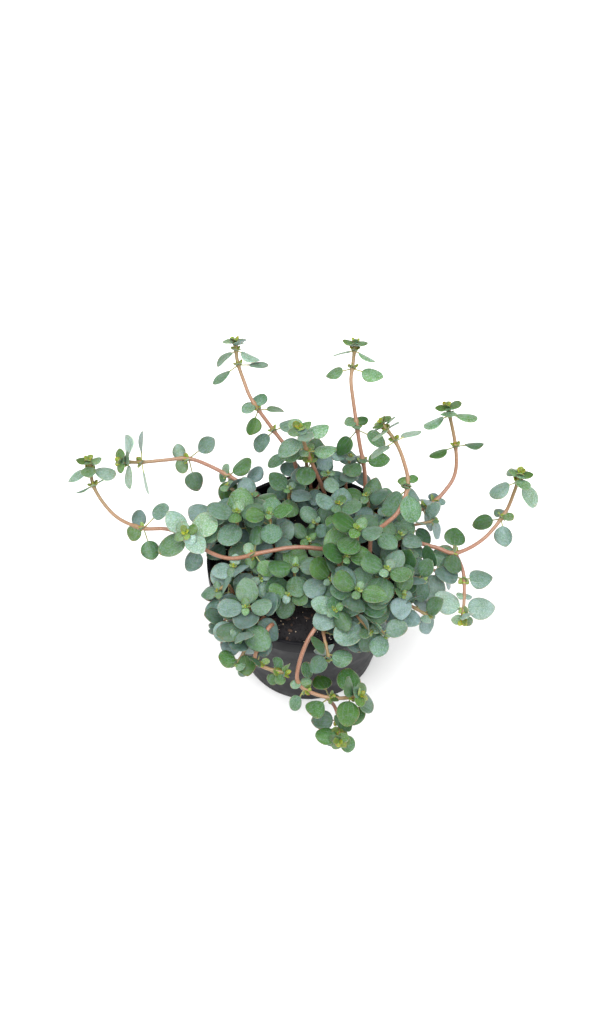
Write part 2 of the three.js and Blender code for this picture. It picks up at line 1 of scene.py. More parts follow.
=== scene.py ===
import bpy
import numpy as np
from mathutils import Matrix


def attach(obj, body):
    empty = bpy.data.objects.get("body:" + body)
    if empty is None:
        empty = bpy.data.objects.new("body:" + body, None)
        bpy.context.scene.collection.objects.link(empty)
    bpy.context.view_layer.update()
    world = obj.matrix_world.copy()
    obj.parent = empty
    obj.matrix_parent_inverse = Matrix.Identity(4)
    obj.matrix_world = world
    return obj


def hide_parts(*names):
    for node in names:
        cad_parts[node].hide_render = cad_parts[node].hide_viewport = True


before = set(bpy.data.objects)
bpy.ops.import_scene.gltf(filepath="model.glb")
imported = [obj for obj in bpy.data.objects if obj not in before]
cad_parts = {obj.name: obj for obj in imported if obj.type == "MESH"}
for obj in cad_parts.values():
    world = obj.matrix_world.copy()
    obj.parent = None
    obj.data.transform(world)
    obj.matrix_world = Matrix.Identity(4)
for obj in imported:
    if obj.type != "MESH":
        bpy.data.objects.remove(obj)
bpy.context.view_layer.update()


# ---------------------------------------------------------------------------------------------------------
# View. The plant stands on a pale table and is seen from in front and well above, so that the camera looks
# down into the pot. The lens is a short telephoto, at arm's length.

VIEW_DISTANCE = 0.700
VIEW_ELEVATION = np.radians(54.92)
VIEW_TARGET = np.array([-0.00049, 0.02557, 0.080])
SENSOR = 36.0
FOCAL_PIXELS = 1454.0
IMAGE_HEIGHT = 1024

camera_data = bpy.data.cameras.new("camera")
camera_data.sensor_width = SENSOR
camera_data.lens = FOCAL_PIXELS / IMAGE_HEIGHT * SENSOR
camera_data.clip_start = 0.01
camera = bpy.data.objects.new("camera", camera_data)
camera.location = VIEW_TARGET + VIEW_DISTANCE * np.array([0, -np.cos(VIEW_ELEVATION), np.sin(VIEW_ELEVATION)])
camera.rotation_euler = (np.pi / 2 - VIEW_ELEVATION, 0, 0)
bpy.context.collection.objects.link(camera)
bpy.context.scene.camera = camera
bpy.context.scene.view_settings.view_transform = "Standard"


# ---------------------------------------------------------------------------------------------------------
# Studio. A pale matt table top, a large softbox overhead a little to the left, a weaker one from the right
# and white walls that fill the shadows.

FLOOR_HALF = 3.0
FLOOR_COLOR = (0.93, 0.93, 0.93, 1)
WALL_COLOR = (1.0, 1.0, 1.0, 1)
WALL_STRENGTH = 0.72
SOFTBOXES = [  # place, aim, side length in metres, power in watts
    ((-0.1, -0.35, 1.5), (0, 0, 0.08), 1.5, 44.0),
    ((0.9, -0.7, 0.9), (0, 0, 0.08), 0.8, 6.0),
]


def plug(tree, node, sockets):
    """Links each named input of a node to its value where that is another node's output, and else sets it."""
    for name, value in sockets.items():
        if isinstance(value, bpy.types.NodeSocket):
            tree.links.new(value, node.inputs[name])
        else:
            node.inputs[name].default_value = value


def add_node(tree, kind, sockets, **settings):
    """Adds a shader node, with its inputs and its settings."""
    node = tree.nodes.new("ShaderNode" + kind)
    for name, value in settings.items():
        setattr(node, name, value)
    plug(tree, node, sockets)
    return node


def new_material(name):
    """An empty material with a Principled shader, as (material, node tree, shader)."""
    material = bpy.data.materials.new(name)
    material.use_nodes = True
    tree = material.node_tree
    tree.nodes.clear()
    shader = add_node(tree, "BsdfPrincipled", {})
    add_node(tree, "OutputMaterial", {"Surface": shader.outputs["BSDF"]})
    return material, tree, shader


floor_mesh = bpy.data.meshes.new("table_top")
corners = [(-1, -1), (1, -1), (1, 1), (-1, 1)]
floor_mesh.from_pydata([(x * FLOOR_HALF, y * FLOOR_HALF, 0) for x, y in corners], [], [(0, 1, 2, 3)])
floor = bpy.data.objects.new("table_top", floor_mesh)
bpy.context.collection.objects.link(floor)
floor_material, floor_tree, floor_shader = new_material("table_top")
plug(floor_tree, floor_shader, {"Base Color": FLOOR_COLOR, "Roughness": 0.9})
floor_mesh.materials.append(floor_material)

world = bpy.data.worlds.new("white_walls")
world.use_nodes = True
plug(world.node_tree, world.node_tree.nodes["Background"], {"Color": WALL_COLOR, "Strength": WALL_STRENGTH})
bpy.context.scene.world = world

for number, (place, aim, side, power) in enumerate(SOFTBOXES):
    light_data = bpy.data.lights.new(f"softbox_{number}", "AREA")
    light_data.size = side
    light_data.energy = power
    light = bpy.data.objects.new(f"softbox_{number}", light_data)
    light.location = place
    beam = np.array(aim) - np.array(place)
    tilt = np.arctan2(np.hypot(beam[0], beam[1]), -beam[2])
    light.rotation_euler = (tilt, 0, np.arctan2(-beam[0], beam[1]))
    bpy.context.collection.objects.link(light)


# ---------------------------------------------------------------------------------------------------------
# Pot. A round nursery pot, moulded in thin black plastic, wider at the top, with a turned-out lip band
# and drain holes in the floor. It is a skin turned round the upright axis from one profile.

MM = 0.001
POT = {
    "rim_radius": 48, "height": 80, "lip_wall": 1.8, "lip_drop": 9, "lip_step": 0.8, "shoulder_radius": 46.4,
    "base_radius": 34, "bevel_width": 3, "bevel_height": 1.2, "wall": 1.2, "floor": 1.8, "round": 0.55,
}
POT_SIDES = 144
CORNER_POINTS = 4
CORNER_REACH = 0.4
DRAIN = {"count": 4, "radius": 3.5, "ring_radius": 25, "drill_length": 10, "sides": 32}
POT_COLOR = (0.0045, 0.0045, 0.006, 1)
POT_DUST = (0.011, 0.0105, 0.012, 1)


def skin(name, rings, start, end, material, uv=None, tone=None):
    """A closed skin for each of n copies, as one object. The rings, an array [n, rows, cols, 3] in
    millimetres, are joined row to row, each ring is closed on itself, and the first and the last ring are
    closed by a fan to the points start[n] and end[n]. uv[n, rows, cols, 2] and tone[n, rows, cols, 4] are
    kept as a UV map and as a colour attribute, with the nearest ring's mean at the two end points."""
    copies, rows, cols, _ = rings.shape
    size = rows * cols + 2

    def flat(values, first, last):
        between = values.reshape(copies, rows * cols, -1)
        return np.concatenate([first[:, None], between, last[:, None]], axis=1)

    points = flat(rings, start, end).reshape(-1, 3) * MM
    col = np.arange(cols)
    after = (col + 1) % cols
    row = 1 + cols * np.arange(rows - 1)[:, None]
    quads = np.stack([row + col, row + after, row + cols + after, row + cols + col], axis=-1).reshape(-1, 4)
    top = 1 + cols * (rows - 1)
    fans = np.concatenate([
        np.stack([np.zeros(cols, int), 1 + after, 1 + col], axis=-1),
        np.stack([top + col, top + after, np.full(cols, size - 1)], axis=-1),
    ])
    offsets = size * np.arange(copies)[:, None, None]
    faces = (quads + offsets).reshape(-1, 4).tolist() + (fans + offsets).reshape(-1, 3).tolist()
    mesh = bpy.data.meshes.new(name)
    mesh.from_pydata(points, [], faces)
    mesh.polygons.foreach_set("use_smooth", np.ones(len(mesh.polygons), bool))
    if uv is not None:
        corner_points = np.empty(len(mesh.loops), int)
        mesh.loops.foreach_get("vertex_index", corner_points)
        values = flat(uv, uv[:, 0].mean(axis=1), uv[:, -1].mean(axis=1)).reshape(-1, 2)
        mesh.uv_layers.new(name="surface").data.foreach_set("uv", values[corner_points].ravel())
    if tone is not None:
        values = flat(tone, tone[:, 0].mean(axis=1), tone[:, -1].mean(axis=1)).reshape(-1, 4)
        mesh.attributes.new("tone", "FLOAT_COLOR", "POINT").data.foreach_set("color", values.ravel())
    mesh.materials.append(material)
    mesh.update()
    piece = bpy.data.objects.new(name, mesh)
    bpy.context.collection.objects.link(piece)
    return piece


def turned_rings(profile, sides):
    """The points [radius, height] of a profile turned round Z: (r cos a, r sin a, h) at each angle a."""
    angle = np.linspace(0, 2 * np.pi, sides, endpoint=False)
    radius, height = np.array(profile, float).T[:, :, None]
    level = np.broadcast_to(height, (len(profile), sides))
    return np.stack([radius * np.cos(angle), radius * np.sin(angle), level], axis=-1)[None]


def rounded(profile, radius):
    """A profile with each inner corner replaced by a few points of a quadratic curve, from the point at the
    radius before the corner, drawn towards the corner, to the point at the radius after it."""
    points = np.array(profile, float)
    before, corner, after = points[:-2], points[1:-1], points[2:]
    back = before - corner
    ahead = after - corner
    shorter = np.minimum(np.linalg.norm(back, axis=1), np.linalg.norm(ahead, axis=1))
    reach = np.minimum(shorter * CORNER_REACH, radius)[:, None]
    first = corner + back / np.linalg.norm(back, axis=1)[:, None] * reach
    last = corner + ahead / np.linalg.norm(ahead, axis=1)[:, None] * reach
    t = np.linspace(0, 1, CORNER_POINTS)[None, :, None]
    curve = (1 - t) ** 2 * first[:, None] + 2 * t * (1 - t) * corner[:, None] + t ** 2 * last[:, None]
    return np.concatenate([points[:1], curve.reshape(-1, 2), points[-1:]])


def wall_radius(height):
    """Inner radius of the pot's wall: it grows evenly from the base to the shoulder."""
    rise = POT["height"] - POT["lip_drop"]
    taper = (POT["shoulder_radius"] - POT["base_radius"]) / rise
    return POT["base_radius"] + taper * height - POT["wall"]


def noise(tree, place, scale, detail, roughness=0.5):
    """Cloudy random values from 0 to 1, the finer the greater the scale."""
    sockets = {"Vector": place, "Scale": scale, "Detail": detail, "Roughness": roughness}
    return add_node(tree, "TexNoise", sockets).outputs["Fac"]


def ranged(tree, value, span, to=(0, 1)):
    """A value carried evenly from one range to another, and held at that one's ends."""
    sockets = {"Value": value, "From Min": span[0], "From Max": span[1], "To Min": to[0], "To Max": to[1]}
    return add_node(tree, "MapRange", sockets).outputs["Result"]


def layered(tree, color, layers):
    """A ground colour under layers, each given by how much it covers and its colour."""
    for cover, layer in layers:
        color = add_node(tree, "MixRGB", {"Fac": cover, "Color1": color, "Color2": layer}).outputs["Color"]
    return color


def bumped(tree, height, strength, distance):
    """Normals of a face that rises and falls by a distance in metres."""
    sockets = {"Height": height, "Strength": strength, "Distance": distance}
    return add_node(tree, "Bump", sockets).outputs["Normal"]


def pot_plastic():
    """Black moulded plastic: a satin face with a fine grain, dulled by dry splashes of soil and lime dust."""
    material, tree, shader = new_material("pot_plastic")
    place = add_node(tree, "TexCoord", {}).outputs["Object"]
    dust = noise(tree, place, scale=70, detail=6, roughness=0.65)
    grain = noise(tree, place, scale=1600, detail=2)
    plug(tree, shader, {
        "Base Color": layered(tree, POT_COLOR, [(ranged(tree, dust, (0.5, 0.78)), POT_DUST)]),
        "Roughness": ranged(tree, dust, (0.3, 0.75), to=(0.42, 0.7)),
        "Specular IOR Level": 0.1,
        "Normal": bumped(tree, grain, strength=0.18, distance=0.0001),
    })
    return material


shoulder = POT["height"] - POT["lip_drop"]
lip_inner = POT["rim_radius"] - POT["lip_wall"]
pot_profile = rounded([
    [0, 0], [POT["base_radius"] - POT["bevel_width"], 0], [POT["base_radius"], POT["bevel_height"]],
    [POT["shoulder_radius"], shoulder], [POT["rim_radius"], shoulder + POT["lip_step"]],
    [POT["rim_radius"], POT["height"]], [lip_inner, POT["height"]],
    [lip_inner, shoulder + POT["lip_wall"]], [wall_radius(shoulder), shoulder],
    [wall_radius(POT["floor"]), POT["floor"]], [0, POT["floor"]],
], POT["round"])
pot_ends = [np.array([[0, 0, height]]) for height in (0.0, POT["floor"])]
pot_rings = turned_rings(pot_profile[1:-1], POT_SIDES)
pot = skin("pot_shell", pot_rings, *pot_ends, pot_plastic())

drain_angles = (np.arange(DRAIN["count"]) + 0.5) * 2 * np.pi / DRAIN["count"]
for angle in drain_angles:
    bpy.ops.mesh.primitive_cylinder_add(
        vertices=DRAIN["sides"], radius=DRAIN["radius"] * MM, depth=DRAIN["drill_length"] * MM,
        location=(DRAIN["ring_radius"] * MM * np.cos(angle), DRAIN["ring_radius"] * MM * np.sin(angle), 0))
    drill = bpy.context.object
    cut = pot.modifiers.new("drain", "BOOLEAN")
    cut.operation = "DIFFERENCE"
    cut.object = drill
    bpy.context.view_layer.objects.active = pot
    bpy.ops.object.modifier_apply(modifier=cut.name)
    bpy.data.objects.remove(drill)
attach(pot, "root")
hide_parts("pot")


# ---------------------------------------------------------------------------------------------------------
# Soil. The pot is filled to a finger's breadth below its rim with a dark, damp peat mix. Its face is
# clodded, and crumbs of peat, chips of bark and white and tan grains of perlite and grit lie on it.

SOIL = {"level": 70, "edge_drop": 1.5, "dome": 1, "wall_gap": 0.05, "side_drop": 3, "tone": 0.55}
SOIL_SIDES = 160
SOIL_RINGS = 46
INNER_SHARE = 0.001
CLODS = {"count": 420, "radius": (1.2, 3.6), "height": (-0.5, 1.1)}
GRAIN_ROWS = 4
GRAIN_COLS = 7
GRAIN_DENTS = (0.72, 1.2)
GRAIN_SPREAD = (0.8, 1.1)
GRAIN_TILT = 0.5
GRAIN_RISE = 0.3
WALL_MARGIN = 1.5
GRAINS = [  # name, slot, count, length in millimetres, share of width and of height, tone
    ("peat_crumbs", "soil", 1500, (0.7, 2.2), 0.85, 0.7, (0.2, 0.9)),
    ("bark_chips", "soil", 170, (1.6, 4.6), 0.5, 0.28, (0.2, 0.9)),
    ("perlite_grains", "grit", 420, (0.3, 1.0), 0.9, 0.75, (0.1, 1.0)),
]
PEAT_DARK = (0.0030, 0.0028, 0.0042, 1)
PEAT_LIGHT = (0.019, 0.015, 0.017, 1)
BARK_DARK = (0.03, 0.016, 0.012, 1)
BARK_LIGHT = (0.12, 0.068, 0.042, 1)
PERLITE_DARK = (0.42, 0.30, 0.17, 1)
PERLITE_LIGHT = (0.70, 0.67, 0.62, 1)
soil_draws = np.random.default_rng(7)


def grain_finish(name, dark, light, roughness):
    """Crumbly matter: each grain's own tone from dark to light, mottled, with a pitted face."""
    material, tree, shader = new_material(name)
    place = add_node(tree, "TexCoord", {}).outputs["Object"]
    tone = add_node(tree, "Attribute", {}, attribute_name="tone").outputs["Fac"]
    mottle = noise(tree, place, scale=900, detail=5, roughness=0.7)
    mixed = add_node(tree, "Math", {0: tone, 1: mottle}, operation="MULTIPLY").outputs["Value"]
    plug(tree, shader, {
        "Base Color": layered(tree, dark, [(ranged(tree, mixed, (0.05, 0.6)), light)]),
        "Roughness": roughness,
        "Normal": bumped(tree, mottle, strength=0.6, distance=0.0004),
    })
    return material


def clodded(x, y):
    """Height of the soil: a low dome that falls at its edge, plus the sum of many small round mounds and
    dips, each height times exp(-distance squared over radius squared)."""
    reach = wall_radius(SOIL["level"])
    away = np.hypot(x, y) / reach
    face = SOIL["level"] + SOIL["dome"] * (1 - away ** 2) - SOIL["edge_drop"] * np.clip(away, 0, 1) ** 8
    gap = (x[..., None] - clod_x) ** 2 + (y[..., None] - clod_y) ** 2
    return face + (clod_height * np.exp(-gap / clod_radius ** 2)).sum(axis=-1)


def scattered(count, reach):
    """Places spread evenly over a disc: the radius is reach times the square root of a draw."""
    radius = reach * np.sqrt(soil_draws.random(count))
    angle = 2 * np.pi * soil_draws.random(count)
    return radius * np.cos(angle), radius * np.sin(angle)


clod_x, clod_y = scattered(CLODS["count"], wall_radius(SOIL["level"]))
clod_radius = soil_draws.uniform(*CLODS["radius"], CLODS["count"])
clod_height = soil_draws.uniform(*CLODS["height"], CLODS["count"])

soil_bottom = POT["floor"] + SOIL["wall_gap"]
soil_heights = (soil_bottom, SOIL["level"] - SOIL["side_drop"])
soil_sides = [[wall_radius(height) - SOIL["wall_gap"], height] for height in soil_heights]
soil_face = [[(wall_radius(SOIL["level"]) - SOIL["wall_gap"]) * share, 0]
             for share in np.sqrt(np.linspace(1, INNER_SHARE, SOIL_RINGS))]
soil_rings = turned_rings(soil_sides + soil_face, SOIL_SIDES)
face_rings = soil_rings[:, len(soil_sides):]
face_rings[..., 2] = clodded(face_rings[..., 0], face_rings[..., 1])
soil_tone = np.full(soil_rings.shape[:3] + (4,), SOIL["tone"])
soil = skin("soil_fill", soil_rings, np.array([[0, 0, soil_bottom]]), face_rings[:, -1].mean(axis=1),
            grain_finish("potting_mix", PEAT_DARK, PEAT_LIGHT, 0.85), tone=soil_tone)
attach(soil, "root")
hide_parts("soil")

grain_finishes = {
    "peat_crumbs": grain_finish("peat", PEAT_DARK, PEAT_LIGHT, 0.8),
    "bark_chips": grain_finish("bark", BARK_DARK, BARK_LIGHT, 0.7),
    "perlite_grains": grain_finish("perlite", PERLITE_DARK, PERLITE_LIGHT, 0.9),
}
# A grain is a ball of few faces, pulled to its length, width and height, dented at random and turned.
polar = np.linspace(0, np.pi, GRAIN_ROWS + 2)[1:-1][:, None]
round_angle = np.linspace(0, 2 * np.pi, GRAIN_COLS, endpoint=False)
ball = np.stack([np.sin(polar) * np.cos(round_angle), np.sin(polar) * np.sin(round_angle),
                 -np.cos(polar) * np.ones(GRAIN_COLS)], axis=-1)
for name, slot, count, lengths, width, height, tones in GRAINS:
    dents = soil_draws.uniform(*GRAIN_DENTS, (count, GRAIN_ROWS, GRAIN_COLS, 1))
    length = soil_draws.uniform(*lengths, count)[:, None]
    spread = np.array([1, width, height]) / 2 * length * soil_draws.uniform(*GRAIN_SPREAD, (count, 3))
    shape = ball * dents * spread[:, None, None]
    ends = np.array([[0, 0, -1], [0, 0, 1]]) * spread[:, None]
    turn = 2 * np.pi * soil_draws.random(count)
    tilt = soil_draws.uniform(-GRAIN_TILT, GRAIN_TILT, count)
    turning = np.stack([
        np.cos(turn) * np.cos(tilt), -np.sin(turn), np.cos(turn) * np.sin(tilt),
        np.sin(turn) * np.cos(tilt), np.cos(turn), np.sin(turn) * np.sin(tilt),
        -np.sin(tilt), np.zeros(count), np.cos(tilt),
    ], axis=-1).reshape(count, 3, 3)
    x, y = scattered(count, wall_radius(SOIL["level"]) - WALL_MARGIN)
    places = np.stack([x, y, clodded(x, y) + GRAIN_RISE * spread[:, 2]], axis=-1)
    shape = np.einsum("nij,nrcj->nrci", turning, shape) + places[:, None, None]
    ends = np.einsum("nij,nej->nei", turning, ends) + places[:, None]
    own_tone = soil_draws.uniform(*tones, count)[:, None, None, None]
    grain_tone = np.broadcast_to(own_tone, shape.shape[:3] + (4,))
    grains = skin(name, shape, ends[:, 0], ends[:, 1], grain_finishes[name], tone=grain_tone)
    grains.data.polygons.foreach_set("use_smooth", np.zeros(len(grains.data.polygons), bool))
    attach(grains, "root")


# ---------------------------------------------------------------------------------------------------------
# Stems. Thin juicy stems, coppery where they are ripe and green at their tips, swollen at the joints that
# bear the leaves. The long runners reach out of the pot and turn up, and the short shoots make the mat.

# A runner's stem runs from the root to the tip, and a branch leaves it at one of the points. bud is the young
# pair at the tip as [leaf length, turn]. pairs are [distance back from the tip, leaf length, turn, lift,
# stalk, facing], where facing is how far leaves look up rather than along the stem. tufts are small pairs
# that look up, as [distance back, leaf length, turn].
RUNNERS = [
    {"name": "runner_back_left", "bud": [4.5, 105],
     "points": [[-4, 36, 79], [-6, 44, 91], [-9, 49, 97], [-17, 57, 104], [-27, 67, 114], [-31, 75, 119],
                [-34, 82, 125], [-35, 89, 131]],
     "pairs": [[1.8, 7.5, 105, 8, 0.6, 0.5], [4, 9.5, 15, -22, 1.2, 0.5], [11, 9.5, 15, -18, 4, 0.45],
               [34.5, 9.5, 10, -40, 3, 0.6], [47, 11, 20, -15, 2, 0.8], [60, 10, 25, 0, 2, 0.8]],
     "tufts": [[31, 8, 15]], "branches": []},
    {"name": "runner_back", "bud": [5, 110],
     "points": [[9, 33, 79], [7, 32, 90], [3, 33, 104], [-1, 35, 117], [-4, 37, 130]],
     "pairs": [[2.2, 8.5, 110, 12, 1, 0.6], [4.8, 11.5, 20, 0, 1.5, 0.6], [15, 10.5, 75, 0, 2, 0.9],
               [21, 10.5, -10, 0, 2.5, 0.9]],
     "tufts": [[13.5, 5, 0]], "branches": []},
    {"name": "runner_back_tall", "bud": [4, 85],
     "points": [[27, 28, 79], [27, 37, 94], [24, 47, 108], [21, 61, 122], [20, 68, 128], [21, 75, 132],
                [22, 82, 138]],
     "pairs": [[1.6, 6, 85, 10, 0.6, 0.4], [3.6, 8.5, -5, -24, 1, 0.15], [12, 10, 8, -14, 3.6, 1],
               [41, 11, 0, -38, 4, 0.85], [57, 10.5, 5, -8, 1.2, 0.8]],
     "tufts": [[37, 6.5, 0], [39, 5, 80], [55.5, 5, 95]], "branches": []},
    {"name": "runner_right_back", "bud": [4, 65],
     "points": [[27, -15, 79], [28, -10, 92], [29, -4, 104], [35, -2, 110], [41, 2, 115], [45, 12, 121],
                [43, 20, 128], [39, 27, 134], [33, 33, 139]],
     "pairs": [[1.6, 6, 65, 10, 0.6, 0.3], [3.6, 9, -25, 5, 0.8, 0.2], [10, 10.5, -3, -8, 3.5, 0.3],
               [33, 13, 5, -58, 1.8, 0.9], [58, 10.5, 20, 0, 1.5, 0.9]],
     "tufts": [[28.5, 5, 20], [30.6, 5, 110]], "branches": []},
    {"name": "runner_right_far", "bud": [4.5, 110],
     "points": [[37, 13, 80], [45, 16, 90], [56, 19, 94], [63, 24, 97], [69, 32, 102], [69, 41, 112],
                [65, 53, 126]],
     "pairs": [[1.8, 8, 110, 5, 0.6, 0.3], [4.2, 10.5, 20, -12, 1.8, 0.45], [19, 9.5, 0, -2, 3.5, 0.35],
               [49, 8.5, 50, -20, 2, 0.7], [55, 8.5, -20, 0, 2, 0.6]],
     "tufts": [[47, 5, 0]], "branches": []},
    {"name": "runner_right", "bud": [5, 62],
     "points": [[38, 2, 80], [44, 1, 91], [58, -4, 94], [68, -6, 92], [81, 1, 93], [91, 11, 99],
                [95, 17, 108], [97, 21, 117]],
     "pairs": [[2, 8.5, 62, -5, 0.8, 0.5], [4.4, 10.5, -18, -38, 2.6, 0.7], [24, 10.5, 5, -42, 2.6, 0.9],
               [53, 10.5, 0, 0, 1.5, 0.9]],
     "tufts": [[21.6, 6.5, 10], [51, 6, 60]],
     "branches": [
         {"from": 3, "bud": [5, 90],
          "points": [[71, -16, 91], [71, -27, 88], [70, -37, 84]],
          "pairs": [[2.4, 9, 90, 12, 0.8, 0.95], [4.8, 12.5, 0, -12, 1.2, 0.9], [19, 11, 5, -10, 1.8, 0.95]],
          "tufts": [[11, 4.5, 10]]}]},
    {"name": "runner_left_back", "bud": [4.5, 110],
     "points": [[-21, 27, 80], [-25, 29, 90], [-35, 34, 95], [-48, 41, 97], [-58, 45, 97], [-69, 44, 97],
                [-80, 42, 98], [-89, 40, 101]],
     "pairs": [[1.6, 8, 110, 4, 0.6, 0], [3.4, 12, 20, -4, 0.8, 0.05], [10, 10.5, 32, -8, 3.6, 0.1],
               [32.5, 9.5, 40, -33, 5.2, 1], [54, 11, 40, -20, 1.5, 1], [64, 10.5, 15, 0, 1.5, 0.9]],
     "tufts": [[28.6, 7.5, 50], [51.5, 5.5, 50]], "branches": []},
    {"name": "runner_left", "bud": [4.5, 100],
     "points": [[16, -7, 80], [13, -7, 93], [3, -8, 99], [-8, -9, 101], [-21, -11, 100], [-35, -11, 95],
                [-46, -6, 93], [-55, 1, 94], [-66, 6, 94], [-78, 8, 92], [-91, 15, 92], [-101, 27, 97],
                [-103, 35, 108]],
     "pairs": [[1.8, 8, 100, -10, 0.6, 0.6], [4, 10, 10, -20, 1, 0.5], [12.4, 7.5, 10, 12, 1.5, 0.1],
               [46, 9, 36, -32, 5.2, 1], [76, 11, 30, -10, 1.5, 1], [104, 9, 20, -20, 3, 0.8]],
     "tufts": [[42, 8, 40], [102, 6, 30]],
     "branches": [
         {"from": 7, "bud": [6.5, 60],
          "points": [[-56, -3, 104]],
          "pairs": [[2.6, 11.5, 55, 12, 1, 0.9], [6, 13.5, -30, -4, 1, 0.9]],
          "tufts": []}]},
    {"name": "runner_front_left", "bud": [3.5, 20],
     "points": [[-15, -36, 79], [-17, -43, 89], [-22, -51, 86], [-24, -56, 80], [-18, -58, 76],
                [-11, -59, 74.5]],
     "pairs": [[2, 5.5, 20, 10, 0.6, 0.8], [4.4, 6.5, 110, 0, 1, 0.9], [13, 7.5, 70, -30, 3, 0.9]],
     "tufts": [], "branches": []},
    {"name": "runner_front", "bud": [6, 90],
     "points": [[8, -35, 80], [6, -41, 90], [0, -50, 89], [-4, -57, 81], [-5, -62, 72], [0, -65, 68],
                [8, -67, 66], [16, -68, 67], [23, -69, 72]],
     "pairs": [[2.6, 10.5, 90, 15, 1, 0.85], [5.4, 12.5, 0, 0, 1.2, 0.85], [15, 9.5, 20, -30, 4, 0.9],
               [27, 8.5, 10, -20, 4, 0.6]],
     "tufts": [[13, 5, 30], [31, 5, 0]],
     "branches": [
         {"from": 6, "bud": [5.5, 30],
          "points": [[12, -69, 60], [14, -75, 55], [14, -84, 57]],
          "pairs": [[2.6, 9, 30, 15, 0.8, 0.85], [5.4, 10.5, 115, 0, 1, 0.85], [11, 10.5, 20, -6, 1.5, 0.85]],
          "tufts": []}]},
]
# A shoot's root on the soil, and its tips as [x, y, z, turn, leaf length].
SHOOTS = [
    ([-27, 20], [[-38, 31, 94, 20, 11.5], [-27, 22, 98, 60, 10.5]]),
    ([-10, 26], [[-9, 27, 97, 30, 12]]),
    ([2, 38], [[-2, 43, 103, 30, 11.5], [9, 33, 101, 70, 10]]),
    ([18, 34], [[20, 43, 101, 0, 10.5]]),
    ([31, 22], [[27, 22, 98, 10, 11.5], [37, 15, 97, 50, 12]]),
    ([14, 12], [[14, 13, 104, 20, 11.5], [3, 9, 95, 60, 10.5]]),
    ([-33, 6], [[-33, 7, 106, 5, 13.5], [-46, 10, 98, 40, 12.5]]),
    ([-16, 6], [[-18, 3, 111, 0, 11], [-16, -2, 99, 45, 10.5]]),
    ([-28, -10], [[-34, -14, 93, 10, 11.5], [-22, -20, 92, 50, 11.5]]),
    ([-7, -17], [[-6, -19, 101, 0, 11.5], [-9, -29, 93, 30, 10.5]]),
    ([7, -14], [[17, -19, 109, 0, 13], [10, -27, 102, 40, 12]]),
    ([22, -8], [[22, -9, 116, 30, 12.5]]),
    ([19, -27], [[22, -35, 106, 20, 13], [12, -40, 98, 60, 12.5]]),
    ([33, -20], [[35, -25, 108, 25, 12.5], [42, -32, 98, 70, 12]]),
    ([36, -3], [[42, -2, 101, 30, 11.5], [46, -8, 94, 60, 11.5]]),
    ([37, 7], [[59, 11, 94, 20, 11]]),
    ([36, -13], [[65, -15, 88, 0, 12.5], [52, -21, 93, 45, 12]]),
    ([35, -22], [[54, -36, 86, 20, 12]]),
    ([25, -33], [[27, -48, 93, 10, 13.5], [34, -48, 89, 50, 12]]),
    ([-34, -20], [[-41, -25, 90, 0, 10.5], [-42, -40, 81, 60, 10.5]]),
    ([-25, -30], [[-28, -38, 97, 0, 12.5], [-32, -50, 92, 40, 12.5]]),
    ([-21, -35], [[-32, -57, 79, 0, 10.5]]),
    ([13, -37], [[9, -57, 84, 20, 10.5]]),
    ([-2, 4], [[0, 0, 94, 45, 10.5]]),
]
# A stem roots straight down in the soil and rises straight above it. A shoot bows up at its middle, and one
# whose tip is far enough out passes over the rim.
ROOT_DEPTH = 9
STRAIGHT_RISE = 4
BOW = 4
OVER_RIM = {"from": 46, "radius": 43, "heights": (86, 90)}
CURVE_DIVISIONS = 200
MIN_STEPS = 3

# Radius of the solid stem and of one that leaves another, the length of its straight steps, and of the
# finished stem the radius at the foot and at the tip, and the rings along it.
RUNNER_STEM = {"radius": 1.3, "side_radius": 0.9, "step": 10, "foot": 1.08, "tip": 0.84, "rings": 110}
SHOOT_STEM = {"radius": 1.1, "side_radius": 0.78, "step": 12, "foot": 0.92, "tip": 0.62, "rings": 44}
STEM_SIDES = 12
SIDE_SHARE = 0.8
JOINT = {"swell": 0.34, "half_length": 1.1, "green": 0.6}
UP = np.array([0.0, 0.0, 1.0])
BACK = np.array([0.0, 1.0, 0.0])

STEM_RIPE = (0.26, 0.125, 0.075, 1)
STEM_TAN = (0.27, 0.165, 0.085, 1)
STEM_FOOT = (0.09, 0.034, 0.028, 1)
STEM_GREEN = (0.18, 0.14, 0.048, 1)
STEM_FLECK = (0.42, 0.25, 0.17, 1)


def unit(vectors):
    """Vectors divided by their lengths."""
    return vectors / np.linalg.norm(vectors, axis=-1, keepdims=True)


